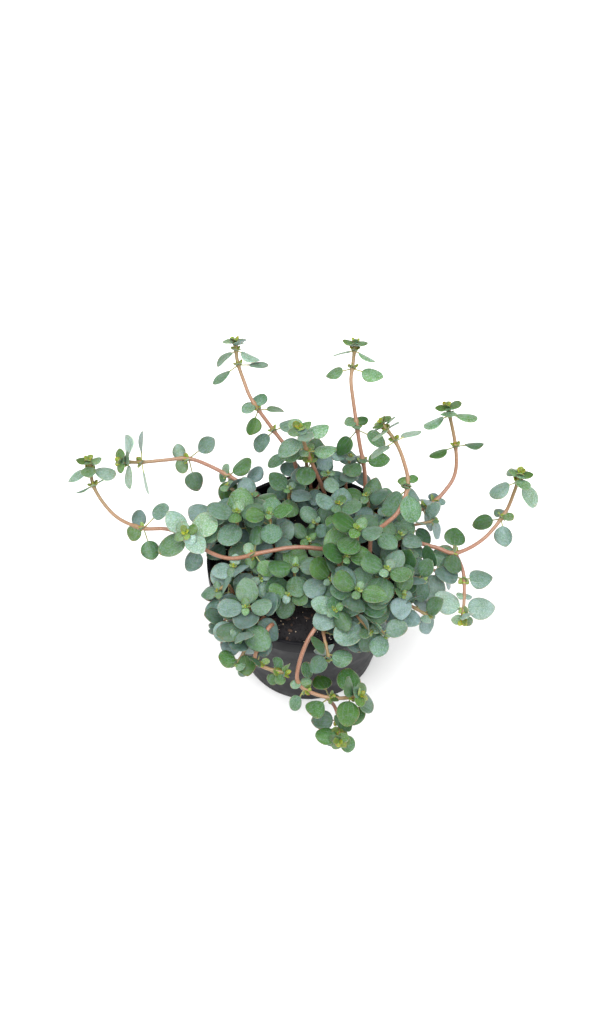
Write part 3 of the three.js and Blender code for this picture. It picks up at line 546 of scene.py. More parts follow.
class Stem:
    """A stem's centre line. The curve between two points b and c with neighbours a and d is the cubic with
    the ends b and c and the slopes (c - a) / 2 and (d - b) / 2; past an end the line is mirrored."""

    def __init__(self, points, kind, is_side):
        self.points = np.array(points, float)
        self.kind = kind
        self.radius = kind["side_radius"] if is_side else kind["radius"]
        self.knots = np.concatenate([
            [2 * self.points[0] - self.points[1]], self.points, [2 * self.points[-1] - self.points[-2]]])
        self.share = np.linspace(0, 1, CURVE_DIVISIONS + 1)
        self.reach = self.lengths(self.curve(self.share))
        steps = max(MIN_STEPS, int(np.floor(self.reach[-1] / kind["step"] + 0.5)))
        self.line = self.even(np.linspace(0, 1, steps + 1))
        self.line_reach = self.lengths(self.line)
        self.length = self.line_reach[-1]
        self.joints = []

    @staticmethod
    def lengths(points):
        return np.concatenate([[0], np.cumsum(np.linalg.norm(np.diff(points, axis=0), axis=1))])

    def curve(self, share):
        spot = share * (len(self.points) - 1)
        first = np.minimum(spot.astype(int), len(self.points) - 2)
        t = (spot - first)[:, None]
        a, b, c, d = (self.knots[first + i] for i in range(4))
        start = (c - a) / 2
        stop = (d - b) / 2
        square = 3 * (c - b) - 2 * start - stop
        return b + t * start + t ** 2 * square + t ** 3 * (2 * (b - c) + start + stop)

    def even(self, share):
        """Points at even shares of the curve's length."""
        return self.curve(np.interp(share * self.reach[-1], self.reach, self.share))

    def at(self, back):
        """Place and direction on the straight steps at a distance back from the tip."""
        goal = self.length - back
        i = int(np.clip(np.searchsorted(self.line_reach, goal), 1, len(self.line) - 1))
        step = self.line[i] - self.line[i - 1]
        share = (goal - self.line_reach[i - 1]) / (self.line_reach[i] - self.line_reach[i - 1])
        return self.line[i - 1] + share * step, unit(step)

    def joint(self, back):
        """The smooth curve's point at a distance back from the tip, which is marked as a joint."""
        share = 1 - back / self.length
        self.joints.append(share)
        return self.even(np.array([share]))[0]


def stem_finish():
    """A stem's skin: dark red-brown at the foot, then coppery, tan and olive green at the tip, with fine
    pale flecks and lengthwise streaks. The tone attribute holds the share along and the joints."""
    material, tree, shader = new_material("stem_skin")
    place = add_node(tree, "TexCoord", {}).outputs
    attribute = add_node(tree, "Attribute", {}, attribute_name="tone").outputs
    tone = add_node(tree, "SeparateColor", {"Color": attribute["Color"]}).outputs
    ripening = add_node(tree, "ValToRGB", {"Fac": tone["Red"]})
    ripening.color_ramp.elements[0].color = STEM_FOOT
    ripening.color_ramp.elements[1].color = STEM_GREEN
    ripening.color_ramp.elements[1].position = 0.96
    for position, color in ((0.35, STEM_RIPE), (0.62, STEM_RIPE), (0.82, STEM_TAN)):
        ripening.color_ramp.elements.new(position).color = color
    stretch = add_node(tree, "Mapping", {"Vector": place["UV"], "Scale": (9, 0.5, 1)}).outputs["Vector"]
    streaks = noise(tree, stretch, scale=2, detail=4)
    flecks = noise(tree, place["Object"], scale=2600, detail=1)
    plug(tree, shader, {
        "Base Color": layered(tree, ripening.outputs["Color"], [
            (ranged(tree, streaks, (0.35, 0.7), to=(0, 0.4)), STEM_FOOT),
            (ranged(tree, flecks, (0.56, 0.7), to=(0, 0.5)), STEM_FLECK),
            (tone["Green"], STEM_GREEN),
        ]),
        "Roughness": 0.42,
        "Subsurface Weight": 0.12,
        "Subsurface Scale": 0.001,
        "Normal": bumped(tree, streaks, strength=0.35, distance=0.0002),
    })
    return material


def stem_rings(stem, kind):
    """Rings round a stem's smooth curve. The radius falls evenly from the foot to the tip and swells at
    each joint by exp(-distance squared). The first axis of a ring lies in the plane that the stem keeps
    nearest to, so that it never turns over."""
    share = np.linspace(0, 1, kind["rings"])
    points = stem.even(share)
    along = unit(np.gradient(points, axis=0))
    flat = np.linalg.svd(along)[2][-1]
    across = unit(np.cross(along, flat))
    over = np.cross(across, along)
    away = (share[:, None] - np.array(stem.joints)[None]) * stem.length / JOINT["half_length"]
    joint = np.exp(-away ** 2).sum(axis=1).clip(0, 1)
    radius = (kind["foot"] + (kind["tip"] - kind["foot"]) * share) * (1 + JOINT["swell"] * joint)
    if stem.radius == kind["side_radius"]:
        radius = radius * SIDE_SHARE
    angle = np.linspace(0, 2 * np.pi, STEM_SIDES, endpoint=False)[:, None]
    rings = points[:, None] + radius[:, None, None] * (
        np.cos(angle) * across[:, None] - np.sin(angle) * over[:, None])
    uv = np.stack(np.broadcast_arrays(angle.T / (2 * np.pi), share[:, None] * stem.length), axis=-1)
    tone = np.zeros(rings.shape[:2] + (4,))
    tone[..., 0] = share[:, None]
    tone[..., 1] = JOINT["green"] * joint[:, None] * share[:, None]
    return rings, uv, tone


def root_points(x, y):
    """A stem's points in the soil and straight above it."""
    return [[x, y, SOIL["level"] - ROOT_DEPTH], [x, y, SOIL["level"]], [x, y, SOIL["level"] + STRAIGHT_RISE]]


# ---------------------------------------------------------------------------------------------------------
# Leaves. Small, nearly round blades on thin stalks, in pairs that cross each other up the stem. They are
# silvery green above, with fine silver specks and three faint veins, and paler below. Each is one closed
# skin that runs from the stalk's foot, inside the stem, to the blade's tip.

# A shoot's tip bears crossed pairs, as (distance back, share of the leaf length, lift). A blade varies a
# little, and where it would touch another it is swung, lifted or shrunk, in that order.
THICKNESS = 0.62
TIP_PAIRS = [(1.8, 0.86, 22), (6.4, 1, 6)]
TIP_PETIOLE = 1
SHOOT_FACING = {"inner": 0.5, "outer": 0.85}
BARE_FOOT = 5
TURN_STEP = 90
TURN_JITTER = 22
LIFT_JITTER = 16
SIZE_JITTER = 0.16
SHRINKS = [1, 0.9, 0.8, 0.7]
SWINGS = [0, 14, -14, 28, -28]
LIFTS = [0, 12, -12, 24, -24, 36, -36, 50]

# Seeds of what grows where, and which draw of a seed sets what.
SEEDS = {
    "runner": 1000, "runner_step": 40, "tuft": 12, "branch": 20, "branch_step": 10, "shoot_step": 30,
    "tip_step": 10, "low": 3, "bud": 6.1, "half": 0.37, "young": 0.19,
}
DRAWS = {
    "blue": 7, "bright": 8, "youth": 9, "width": 10, "bud_size": 11, "young_size": 12, "bud_turns": (30, 40),
}
MATCH = 0.01

# A blade's power of growth at its foot and at its tip, and how far it is arched, drooped, waved and twisted,
# each drawn from a range. Then come the fixed shares of these forms.
LEAF_FORMS = {
    "foot_power": (0.44, 0.58), "tip_power": (0.46, 0.76), "arch": (-0.35, 0.9), "droop": (-0.1, 0.5),
    "wave": (-0.02, 0.02), "phase": (0, 2 * np.pi), "twist": (-0.22, 0.22),
}
DROOP = {"depth": 0.45, "from": 0.3, "shortens": 0.06}
FOLD = {"depth": 0.022, "half_width": 0.3, "rise": 5}
WAVES = 7
LEAF_COLS = 14
STALK_ROWS = np.array([0.0, 0.35, 0.7])
BLADE_ROWS = np.array([0.0, 0.015, 0.05, 0.1, 0.17, 0.26, 0.37, 0.49, 0.61, 0.73, 0.83, 0.91, 0.96, 0.99])
STALK_HALF = 0.3
STALK_TAPER = (1.15, 0.2)
STALK_YOUTH = 0.45
STALK_UV = (-0.12, 0.1)
BLADE_DEPTH = 0.3
BLADE_TAPER = (1.35, 0.7)
BLADE_EDGE = 6

LEAF_GREEN = (0.030, 0.124, 0.012, 1)
# The blue-grey tone is partly the leaves' waxy bloom and partly painted sheen: it is made pale as if it
# reflected the bright surroundings.
LEAF_BLUE_AND_SHEEN = (0.116, 0.178, 0.186, 1)
LEAF_SILVER = (0.26, 0.34, 0.31, 1)
LEAF_DEEP = (0.012, 0.052, 0.008, 1)
LEAF_BELOW = (0.135, 0.205, 0.19, 1)
LEAF_YOUNG = (0.21, 0.25, 0.022, 1)
LEAF_RIM = (0.36, 0.48, 0.32, 1)
LEAF_STALK = (0.25, 0.25, 0.095, 1)
SHEEN_GREEN = (0.75, 1.0, 0.6, 1)
SHEEN_BLUE = (0.8, 0.92, 1.0, 1)
VEINS = {"middle_half": 0.07, "side_place": 0.46, "side_half": 0.035, "length": 0.8, "cover": 0.34}

# Blades are greener from a height upwards and bluer below it, but for those that hang in front.
GREEN_HEIGHT = 114
BLUEING = 28
GREEN_FRONT = -52
BLUENESS = {"low": 0.55, "draw": 0.85, "less": 0.18}
# Painted sheen: the bluer a blade, the brighter its colour.
BRIGHTNESS = {"least": 0.46, "draw": 0.42, "blue": 0.25}
leaf_draws = np.random.default_rng(11)


def draw(seed, place):
    """The same random number from 0 to 1 for the same seed and place: the fraction of a scaled sine."""
    wave = np.sin(seed * 12.9898 + place * 78.233) * 43758.5453
    return wave - np.floor(wave)


def maths(tree, operation, *values, **settings):
    """One value worked out from others."""
    node = add_node(tree, "Math", dict(enumerate(values)), operation=operation, **settings)
    return node.outputs["Value"]


def leaf_finish():
    """A leaf's skin, in layers from its ground colour up to the stalk. The UV map holds the place across from
    -1 to 1 and the place along from 0 to 1, and the tone attribute holds youth, blueness, brightness and, as
    alpha, 0 above to 1 below."""
    material, tree, shader = new_material("leaf_skin")
    coords = add_node(tree, "TexCoord", {}).outputs
    attribute = add_node(tree, "Attribute", {}, attribute_name="tone").outputs
    tone = add_node(tree, "SeparateColor", {"Color": attribute["Color"]}).outputs
    place = add_node(tree, "SeparateXYZ", {"Vector": coords["UV"]}).outputs
    side = maths(tree, "ABSOLUTE", place["X"])

    blotches = noise(tree, coords["Object"], scale=240, detail=4)
    worn = noise(tree, coords["Object"], scale=1000, detail=4, roughness=0.65)
    specks = noise(tree, coords["Object"], scale=1900, detail=2, roughness=0.6)
    most_specks = ranged(tree, tone["Blue"], (0.6, 1.4), to=(0.1, 0.8))
    bloom = ranged(tree, worn, (0.32, 0.68), to=(0.4, -0.4))
    blueness = maths(tree, "ADD", tone["Green"], bloom, use_clamp=True)
    mid_vein = ranged(tree, side, (0, VEINS["middle_half"]), to=(1, 0))
    side_veins = maths(tree, "COMPARE", side, VEINS["side_place"], VEINS["side_half"])
    fading = ranged(tree, place["Y"], (0, VEINS["length"]), to=(VEINS["cover"], 0))
    veins = maths(tree, "MULTIPLY", maths(tree, "MAXIMUM", mid_vein, side_veins), fading)
    color = layered(tree, LEAF_GREEN, [
        (blueness, LEAF_BLUE_AND_SHEEN),
        (ranged(tree, blotches, (0.4, 0.72), to=(0, 0.55)), LEAF_DEEP),
        (ranged(tree, specks, (0.46, 0.7), to=(0, most_specks)), LEAF_SILVER),
        (veins, LEAF_SILVER),
        (ranged(tree, side, (0.92, 0.99), to=(0, 0.6)), LEAF_RIM),
        (ranged(tree, attribute["Alpha"], (0.45, 0.6)), LEAF_BELOW),
        (tone["Red"], LEAF_YOUNG),
        (ranged(tree, place["Y"], (-0.02, 0.03), to=(0.85, 0)), LEAF_STALK),
    ])
    # The tone's brightness is random tone plus painted light: sheen on bluer blades, shade on the low pairs
    # and glow on the buds.
    lit = add_node(tree, "HueSaturation", {"Value": tone["Blue"], "Color": color})
    plug(tree, shader, {
        "Base Color": lit.outputs["Color"],
        "Roughness": 0.42,
        "Specular IOR Level": 0.4,
        "Specular Tint": layered(tree, SHEEN_GREEN, [(blueness, SHEEN_BLUE)]),
        "Subsurface Weight": ranged(tree, tone["Red"], (0, 0.8), to=(0.1, 0.7)),
        "Subsurface Scale": 0.0012,
        "Normal": bumped(tree, maths(tree, "SUBTRACT", specks, veins), strength=0.45, distance=0.00025),
    })
    return material


def posed(place, along, reference, facing, turn, lift):
    """Axes and normals of blades at one place. An axis leaves the stem at a turn round it and a lift towards
    its tip; a normal looks partly along the stem and partly up, square to its axis."""
    across = unit(np.cross(along, reference))
    over = np.cross(across, along)
    turn, lift = np.radians(turn)[:, None], np.radians(lift)[:, None]
    out = across * np.cos(turn) + over * np.sin(turn)
    axis = out * np.cos(lift) + along * np.sin(lift)
    look = along * (1 - facing) + UP * facing
    normal = unit(look - axis * (axis @ look)[:, None])
    return axis, normal


def postures(growth, half):
    """Turns, lifts and sizes that one blade of a pair may take, the best first."""
    seed = growth["seed"]
    size = growth["size"] * (1 + SIZE_JITTER * (draw(seed, 3 * half + 2) - 0.5))
    turn = growth["turn"] + 180 * half + TURN_JITTER * (draw(seed, 3 * half) - 0.5)
    lift = growth["lift"] + LIFT_JITTER * (draw(seed, 3 * half + 1) - 0.5)
    shrink, up, swing = (values.ravel() for values in np.meshgrid(SHRINKS, LIFTS, SWINGS, indexing="ij"))
    return turn + swing, lift + up, size * shrink


def stood(growth, half, corners):
    """The blade that stands in the solid plant: the first posture with its tip corners among the solid's. It
    is None where the blade was left out."""
    place, along = growth["stem"].at(growth["back"])
    turn, lift, size = postures(growth, half)
    axis, normal = posed(place, along, growth["reference"], growth["facing"], turn, lift)
    end = growth["stalk"] + growth["stem"].radius if "stalk" in growth else 0
    tips = place + axis * (end + size)[:, None]
    miss = []
    for side in (-1, 1):
        corner = tips + side * THICKNESS / 2 * normal
        miss.append(np.linalg.norm(corner[:, None] - corners[None], axis=2).min(axis=1))
    found = np.flatnonzero(np.maximum(*miss) < MATCH)
    if len(found) == 0:
        return None
    i = found[0]
    return place + axis[i] * end, axis[i], normal[i], size[i]


def runner_growth(spot, row):
    """What grows on a runner or on its branch: the young pair at the tip, the full pairs and the tufts."""
    young = {**spot, "lift": 0, "is_young": True}
    size, turn = row["bud"]
    growth = [{**young, "back": 0, "size": size, "turn": turn, "facing": 0}]
    for i, (back, size, turn, lift, stalk, facing) in enumerate(row["pairs"]):
        growth.append({**spot, "back": back, "size": size, "turn": turn, "lift": lift, "facing": facing,
                       "stalk": stalk, "seed": spot["seed"] + i + 1})
    for i, (back, size, turn) in enumerate(row["tufts"]):
        growth.append({**young, "back": back, "size": size, "turn": turn, "facing": 1,
                       "seed": spot["seed"] + SEEDS["tuft"] + i})
    return growth


def plan_runner(index, runner):
    """A runner's stems and its growth, with its branches."""
    seed = SEEDS["runner"] + SEEDS["runner_step"] * index
    points = runner["points"]
    main = Stem(root_points(*points[0][:2]) + points[1:], RUNNER_STEM, False)
    rows = [(runner, {"stem": main, "reference": UP, "seed": seed})]
    for i, branch in enumerate(runner["branches"]):
        side = Stem([points[branch["from"]]] + branch["points"], RUNNER_STEM, True)
        rows.append((branch, {"stem": side, "reference": BACK,
                              "seed": seed + SEEDS["branch"] + SEEDS["branch_step"] * i}))
    return {
        "name": runner["name"], "kind": RUNNER_STEM, "stems": [spot["stem"] for _, spot in rows],
        "growth": [growth for row, spot in rows for growth in runner_growth(spot, row)],
        "tips": [{**spot, "leaf": row["bud"][0], "turn": row["bud"][1]} for row, spot in rows],
    }


def plan_shoot(index, shoot):
    """A shoot's stems and the growth of its tips: the first rises from the root, the others leave it."""
    (x, y), ends = shoot
    start = root_points(x, y)
    plan = {"name": f"shoot_{index + 1:02d}", "kind": SHOOT_STEM, "stems": [], "growth": [], "tips": []}
    for i, (tip_x, tip_y, tip_z, turn, leaf) in enumerate(ends):
        reach = np.hypot(tip_x, tip_y)
        is_outer = reach > OVER_RIM["from"]
        if is_outer:
            share = OVER_RIM["radius"] / reach
            middle = [tip_x * share, tip_y * share, np.clip(tip_z, *OVER_RIM["heights"])]
        else:
            middle = [(x + tip_x) / 2, (y + tip_y) / 2, (SOIL["level"] + tip_z) / 2 + BOW]
        stem = Stem((start if i == 0 else start[-1:]) + [middle, [tip_x, tip_y, tip_z]], SHOOT_STEM, i > 0)
        bare = BARE_FOOT + (ROOT_DEPTH if i == 0 else 0)
        spot = {"stem": stem, "reference": BACK, "facing": SHOOT_FACING["outer" if is_outer else "inner"],
                "seed": SEEDS["shoot_step"] * index + SEEDS["tip_step"] * i}
        for j, (back, share, lift) in enumerate(TIP_PAIRS):
            if back < stem.length - bare:
                plan["growth"].append({
                    **spot, "back": back, "turn": turn + TURN_STEP * j, "lift": lift, "size": leaf * share,
                    "stalk": TIP_PETIOLE, "seed": spot["seed"] + j + 1})
        plan["tips"].append({**spot, "leaf": leaf, "turn": turn, "bare": bare})
        plan["stems"].append(stem)
    return plan


def leaf_rings(foot, start, axis, normal, size, half, tone):
    """Rings round n leaves. Along the stalk a ring is a small circle. Along the blade it is a thin lens: its
    half width is that of u^a (1 - u)^b over its greatest value, where a draws the foot in and b the tip. Its
    middle surface is arched across, bent down to the tip, folded along the midrib and waved at its edge."""
    count = len(size)
    side = np.cross(normal, axis)
    angle = np.linspace(0, 2 * np.pi, LEAF_COLS, endpoint=False)
    v = np.cos(angle)
    u = BLADE_ROWS[:, None]
    low, high = np.array(list(LEAF_FORMS.values())).T[..., None]
    forms = leaf_draws.uniform(low, high, (len(LEAF_FORMS), count))
    a, b, arch, droop, wave, phase, twist = forms[..., None, None]
    peak = a / (a + b)
    bulge = (u ** a * (1 - u) ** b) / (peak ** a * (1 - peak) ** b)
    sizes, halves = size[:, None, None], half[:, None, None]
    width = np.maximum(STALK_HALF, sizes * halves * bulge)
    taper = (BLADE_TAPER[0] - BLADE_TAPER[1] * u) * np.minimum(1, BLADE_EDGE * (1 - u))
    y = v * width / sizes
    bend = droop * DROOP["depth"]
    fold = FOLD["depth"] * np.exp(-(v / FOLD["half_width"]) ** 2) * np.minimum(1, FOLD["rise"] * u)
    ripple = wave * np.sin(WAVES * u + phase) * v ** 2 * np.sign(v)
    drop = arch * y ** 2 + bend * np.maximum(0, u - DROOP["from"]) ** 2 + fold
    height = sizes * (twist * y * u - drop + ripple) + np.sin(angle) * BLADE_DEPTH * taper
    reach = sizes * (1 - DROOP["shortens"] * droop)
    blade = (start[:, None, None] + axis[:, None, None] * (u * reach)[..., None] * np.ones(LEAF_COLS)[:, None]
             + side[:, None, None] * (v * width)[..., None]
             + normal[:, None, None] * height[..., None])
    p = STALK_ROWS[:, None]
    middle = foot[:, None] + (start - foot)[:, None] * p
    lean = unit(start - foot + 1e-6 * axis)
    across = unit(np.cross(normal, lean))
    over = np.cross(lean, across)
    thick = STALK_HALF * (STALK_TAPER[0] - STALK_TAPER[1] * p)
    stalk = (middle[:, :, None] + across[:, None, None] * (v * thick)[..., None]
             + over[:, None, None] * (np.sin(angle) * thick)[..., None])
    rings = np.concatenate([stalk, blade], axis=1)
    sink = (sizes * bend)[:, 0] * (1 - DROOP["from"]) ** 2
    end = start + axis * reach[:, 0] - normal * sink
    rows = np.concatenate([STALK_UV[0] + STALK_UV[1] * STALK_ROWS, BLADE_ROWS])
    uv = np.broadcast_to(np.stack(np.broadcast_arrays(v, rows[:, None]), axis=-1), rings.shape[:3] + (2,))
    tones = np.empty(rings.shape[:3] + (4,))
    tones[..., :3] = tone[:, None, None]
    on_stalk = tones[:, :len(STALK_ROWS) + 1, :, 0]
    on_stalk[:] = np.maximum(on_stalk, STALK_YOUTH)
    tones[..., 3] = 0.5 - 0.5 * np.sin(angle)
    return rings, foot, end, uv, tones


def tone_of(youth, place, seed):
    """A blade's tone: its youth, how blue it is, by a draw and the more the lower the blade grows, but for
    those that hang in front, and how bright it is, by another draw and the more the bluer it is, which is
    partly a painted sheen."""
    lowness = np.clip((GREEN_HEIGHT - place[2]) / BLUEING, 0, 1) * (place[1] > GREEN_FRONT)
    blueness = np.clip(
        BLUENESS["low"] * lowness + BLUENESS["draw"] * draw(seed, DRAWS["blue"]) - BLUENESS["less"], 0, 1)
    brightness = BRIGHTNESS["least"] + BRIGHTNESS["draw"] * draw(seed, DRAWS["bright"])
    return [youth, blueness * (1 - youth), brightness + BRIGHTNESS["blue"] * blueness]


# Where a blade is tested, as shares of its length and of its half width, and the room that it keeps: from
# other blades as shares of theirs and a height off their plane, and in millimetres from the rest.
TESTED_ALONG = [0.1, 0.35, 0.6, 0.85, 1]
TESTED_ACROSS = [-0.8, -0.4, 0, 0.4, 0.8]
WIDEST_FROM = 0.92
LEAF_ROOM = {"along": 0.55, "across": 1.1, "height": 0.8}
WALL_ROOM = 1
SOIL_ROOM = 1.5
STEM_ROOM = 1.3
NEAR_STEM = 2.5

# Glades, as [x, y, radius] on the soil, where the mat is open upwards and to the front.
GLADES = [
    (-18, 36, 4), (-4, 30, 4), (-6.5, 17, 4), (2, 6, 4.5), (-42.5, -3.5, 3.5), (-36, 10, 3.5), (26, 12, 3),
    (-7.5, -25, 6), (-4, -35, 6), (4.5, -28, 5),
]
GLADE_LIGHT = np.array([0.0, -0.575, 0.818])


def crossings(start, axis, normal, size, half, others):
    """For each of k postures of a blade, how many of its sample points lie within a leaf's outline and close
    to its plane, over all the leaves that already stand, in the pot's wall or soil, near a stem's middle line
    or near a glade's line of light."""
    o_start, o_axis, o_normal, o_size, o_half = others
    share, v = (values.ravel() for values in np.meshgrid(TESTED_ALONG, TESTED_ACROSS))
    bulge = np.sin(np.pi * np.minimum(share, WIDEST_FROM)) ** 0.5
    side = np.cross(normal, axis)
    points = (start[:, None] + axis[:, None] * (share * size)[None, :, None]
              + side[:, None] * (v * half * size * bulge)[None, :, None])
    gap = points[:, :, None] - (o_start + o_axis * (o_size / 2)[:, None])
    out = (gap * o_axis).sum(axis=-1) / (LEAF_ROOM["along"] * o_size)
    across = (gap * np.cross(o_normal, o_axis)).sum(axis=-1) / (LEAF_ROOM["across"] * o_half * o_size)
    height = np.abs((gap * o_normal).sum(axis=-1))
    touching = (out ** 2 + across ** 2 < 1) & (height < LEAF_ROOM["height"])
    radius = np.hypot(points[..., 0], points[..., 1])
    in_wall = ((points[..., 2] < POT["height"] + WALL_ROOM) & (radius < POT["rim_radius"] + WALL_ROOM)
               & (radius > wall_radius(SOIL["level"]) - WALL_ROOM))
    in_soil = (points[..., 2] < SOIL["level"] + SOIL_ROOM) & (radius < POT["rim_radius"])
    near = stem_points[np.linalg.norm(stem_points - points.mean(axis=(0, 1)), axis=1) < NEAR_STEM * size]
    on_stem = (np.linalg.norm(points[:, :, None] - near, axis=-1) < STEM_ROOM).any(axis=-1)
    glade = points[:, :, None] - np.array([[x, y, SOIL["level"]] for x, y, _ in GLADES])
    off_line = np.linalg.norm(glade - (glade @ GLADE_LIGHT)[..., None] * GLADE_LIGHT, axis=-1)
    in_glade = (off_line < np.array([radius for _, _, radius in GLADES])).any(axis=-1)
    return touching.sum(axis=(1, 2)) + (in_wall | in_soil | on_stem | in_glade).sum(axis=1)


def columns(blades):
    """Blades, each as (stalk's foot, blade's foot, axis, normal, length, half width as a share, tone), as one
    array for each of these values."""
    return [np.array(column, float) for column in zip(*blades)]


plants = [plan_runner(i, runner) for i, runner in enumerate(RUNNERS)]
plants += [plan_shoot(i, shoot) for i, shoot in enumerate(SHOOTS)]

# The blades of the solid plants, where they stand. The leaves near a runner's tip are fresh and silvery.
FRESH_FROM_TIP = 16
FRESHNESS = 1.5
FRESH_BLUE = 0.25
YOUTH = {"young": 0.2, "full": 0.1, "fresh": 0.05}
HALF_WIDTH = {"young": 0.42, "full": 0.39, "draw": 0.1}
for plant in plants:
    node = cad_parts[plant["name"]]
    corners = np.empty(3 * len(node.data.vertices))
    node.data.vertices.foreach_get("co", corners)
    corners = np.unique(np.round(corners.reshape(-1, 3) / MM, 4), axis=0)
    plant["blades"] = []
    for growth in plant["growth"]:
        is_young = growth.get("is_young", False)
        age = "young" if is_young else "full"
        foot = growth["stem"].joint(growth["back"])
        for half in (0, 1):
            blade = stood(growth, 0 if is_young else half, corners)
            if blade is None:
                continue
            start, axis, normal, size = blade
            if is_young and half == 1:
                axis = -axis
            seed = growth["seed"] + SEEDS["half"] * half + (SEEDS["young"] if is_young else 0)
            near_tip = plant["kind"] is RUNNER_STEM and growth["back"] < FRESH_FROM_TIP
            is_fresh = near_tip and start[1] > GREEN_FRONT
            youth = YOUTH[age] * draw(seed, DRAWS["youth"]) + (YOUTH["fresh"] if is_fresh else 0)
            half_width = HALF_WIDTH[age] + HALF_WIDTH["draw"] * draw(seed, DRAWS["width"])
            youth, blueness, brightness = tone_of(youth, start, seed)
            if is_fresh:
                blueness, brightness = blueness + FRESH_BLUE, brightness * FRESHNESS
            tone = [youth, blueness, brightness]
            plant["blades"].append((foot, start, axis, normal, size, half_width, tone))

# Lower pairs on the shoots, which fill the mat, each blade in the posture that crosses the fewest leaves.
# Their tone is painted greener and darker, as shade under the mat. LOW_PAIRS are as TIP_PAIRS.
LOW_PAIRS = [(12.2, 0.95, 0), (18.2, 0.9, -6)]
LOW_STALK = 3
LOW_HALF_WIDTH = 0.45
LOW_TEST_WIDTH = 0.47
# Painted shade: the low blades are made greener and darker, as in the shade under the mat.
LOW_SHADE_TONE = {"blueness": 0.8, "brightness": 0.85}
MOST_CROSSINGS = 1
STEM_SAMPLES = np.linspace(0, 1, 80)
stem_points = np.concatenate([stem.even(STEM_SAMPLES) for plant in plants for stem in plant["stems"]])
standing = [np.concatenate(column) for column in zip(*(columns(plant["blades"])[1:6] for plant in plants))]
shoot_tips = [(plant, tip) for plant in plants if plant["kind"] is SHOOT_STEM for tip in plant["tips"]]
for plant, tip in shoot_tips:
    stem = tip["stem"]
    for i, (back, share, lift) in enumerate(LOW_PAIRS):
        if back > stem.length - tip["bare"]:
            continue
        place, along = stem.at(back)
        foot = stem.joint(back)
        seed = tip["seed"] + SEEDS["low"] + i
        turn = tip["turn"] + TURN_STEP * i
        growth = {"seed": seed, "size": tip["leaf"] * share, "turn": turn, "lift": lift}
        for half in (0, 1):
            turn, up, size = (values[:len(SWINGS) * len(LIFTS)] for values in postures(growth, half))
            axis, normal = posed(place, along, tip["reference"], tip["facing"], turn, up)
            start = place + axis * (stem.radius + LOW_STALK)
            costs = crossings(start, axis, normal, size[0], LOW_TEST_WIDTH, standing)
            best = int(np.argmin(costs))
            if costs[best] > MOST_CROSSINGS:
                continue
            _, blueness, brightness = tone_of(0, start[best], seed + SEEDS["half"] * half)
            # painted shade: greener and darker than the blades above
            tone = [0, LOW_SHADE_TONE["blueness"] * blueness, LOW_SHADE_TONE["brightness"] * brightness]
            row = (start[best], axis[best], normal[best], size[0])
            plant["blades"].append((foot, *row, LOW_HALF_WIDTH, tone))
            standing = [np.append(column, [value], axis=0)
                        for column, value in zip(standing, (*row, LOW_TEST_WIDTH))]

# Buds: crossed pairs of tiny leaves, each pair smaller, steeper and more yellow than the last. They crown
# each tip, where the shoots first have a young pair, and sit in the joints of the runners. A pair is its leaf
# length, lift and youth, and on a shoot the length is a share of the young leaf's. Buds are painted brighter,
# as a glow of light through them.
RUNNER_BUDS = [(5.8, 8, 0.2), (4.0, 28, 0.55), (2.5, 52, 1.0)]
JOINT_BUDS = [(3.6, 14, 0.4), (2.8, 38, 0.7), (1.9, 60, 0.95)]
RUNNER_BUD_FACING = 0.55
SHOOT_BUDS = [(1, 12, 0.12), (0.42, 40, 0.42), (0.27, 60, 0.8)]
YOUNG_SHARE = (0.3, 0.5)
JOINTS_FROM = 3
# Painted light: the buds' brightness is raised by this factor, as a glow of light shining through them.
BUD_PAINTED_GLOW = 1.2
BUD_TURNING = 14
BUD_STEP = 0.2
BUD_STALK = 0.35
BUD_SIZE = (0.88, 0.24)
BUD_YOUTH = (0.8, 0.3)
BUD_HALF_WIDTH = 0.46


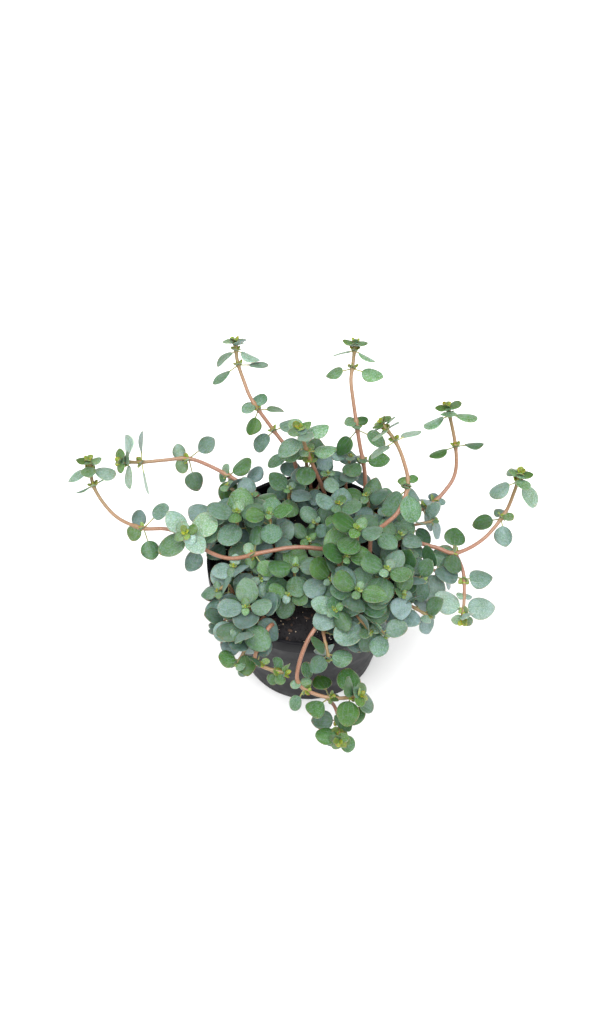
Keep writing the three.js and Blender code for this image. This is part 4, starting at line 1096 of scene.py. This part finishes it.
def add_buds(blades, place, along, spot, turn, rows):
    """Adds pairs of small leaves at one place on a stem: rows of leaf length, lift and youth, crossed."""
    for i, (length, lift, youth) in enumerate(rows):
        swing = BUD_TURNING * np.array([draw(spot["seed"], first + i) for first in DRAWS["bud_turns"]])
        turns = turn + TURN_STEP * i + swing + np.array([0.0, 180.0])
        lifts = np.full(2, float(lift))
        axis, normal = posed(place, along, spot["reference"], spot["facing"], turns, lifts)
        for half in (0, 1):
            seed = spot["seed"] + SEEDS["bud"] + i + SEEDS["half"] * half
            start = place + along * BUD_STEP * i + axis[half] * BUD_STALK
            size = length * (BUD_SIZE[0] + BUD_SIZE[1] * draw(seed, DRAWS["bud_size"]))
            age = youth * (BUD_YOUTH[0] + BUD_YOUTH[1] * draw(seed, DRAWS["youth"]))
            own_youth, blueness, brightness = tone_of(age, place, seed)
            # the buds' brightness is raised by a painted glow
            tone = [own_youth, blueness, BUD_PAINTED_GLOW * brightness]
            blades.append((place, start, axis[half], normal[half], size, BUD_HALF_WIDTH, tone))


for plant in plants:
    for tip in plant["tips"]:
        place, along = tip["stem"].at(0)
        rows = RUNNER_BUDS
        if plant["kind"] is SHOOT_STEM:
            young = np.interp(draw(tip["seed"], DRAWS["young_size"]), [0, 1], YOUNG_SHARE) * tip["leaf"]
            rows = [(young * share, lift, youth) for share, lift, youth in SHOOT_BUDS]
        spot = {"facing": RUNNER_BUD_FACING, **tip}
        add_buds(plant["blades"], place, along, spot, tip["turn"] + TURN_STEP, rows)
    for growth in plant["growth"]:
        if plant["kind"] is RUNNER_STEM and growth["back"] > JOINTS_FROM and "stalk" in growth:
            place, along = growth["stem"].at(growth["back"])
            spot = {**growth, "facing": RUNNER_BUD_FACING}
            add_buds(plant["blades"], place, along, spot, growth["turn"] + TURN_STEP, JOINT_BUDS)

leaf_skin = leaf_finish()
stem_skin = stem_finish()
for plant in plants:
    rings, foot, end, uv, tone = leaf_rings(*columns(plant["blades"]))
    leaves = skin(plant["name"] + "_leaves", rings, foot, end, leaf_skin, uv, tone)
    parts = [stem_rings(stem, plant["kind"]) for stem in plant["stems"]]
    rings, uv, tone = (np.stack(column) for column in zip(*parts))
    stems = skin(plant["name"] + "_stems", rings, rings[:, 0].mean(axis=1), rings[:, -1].mean(axis=1),
                 stem_skin, uv, tone)
    for piece, slot in ((leaves, "leaf"), (stems, "stem")):
        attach(piece, "root")
        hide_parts(plant["name"])
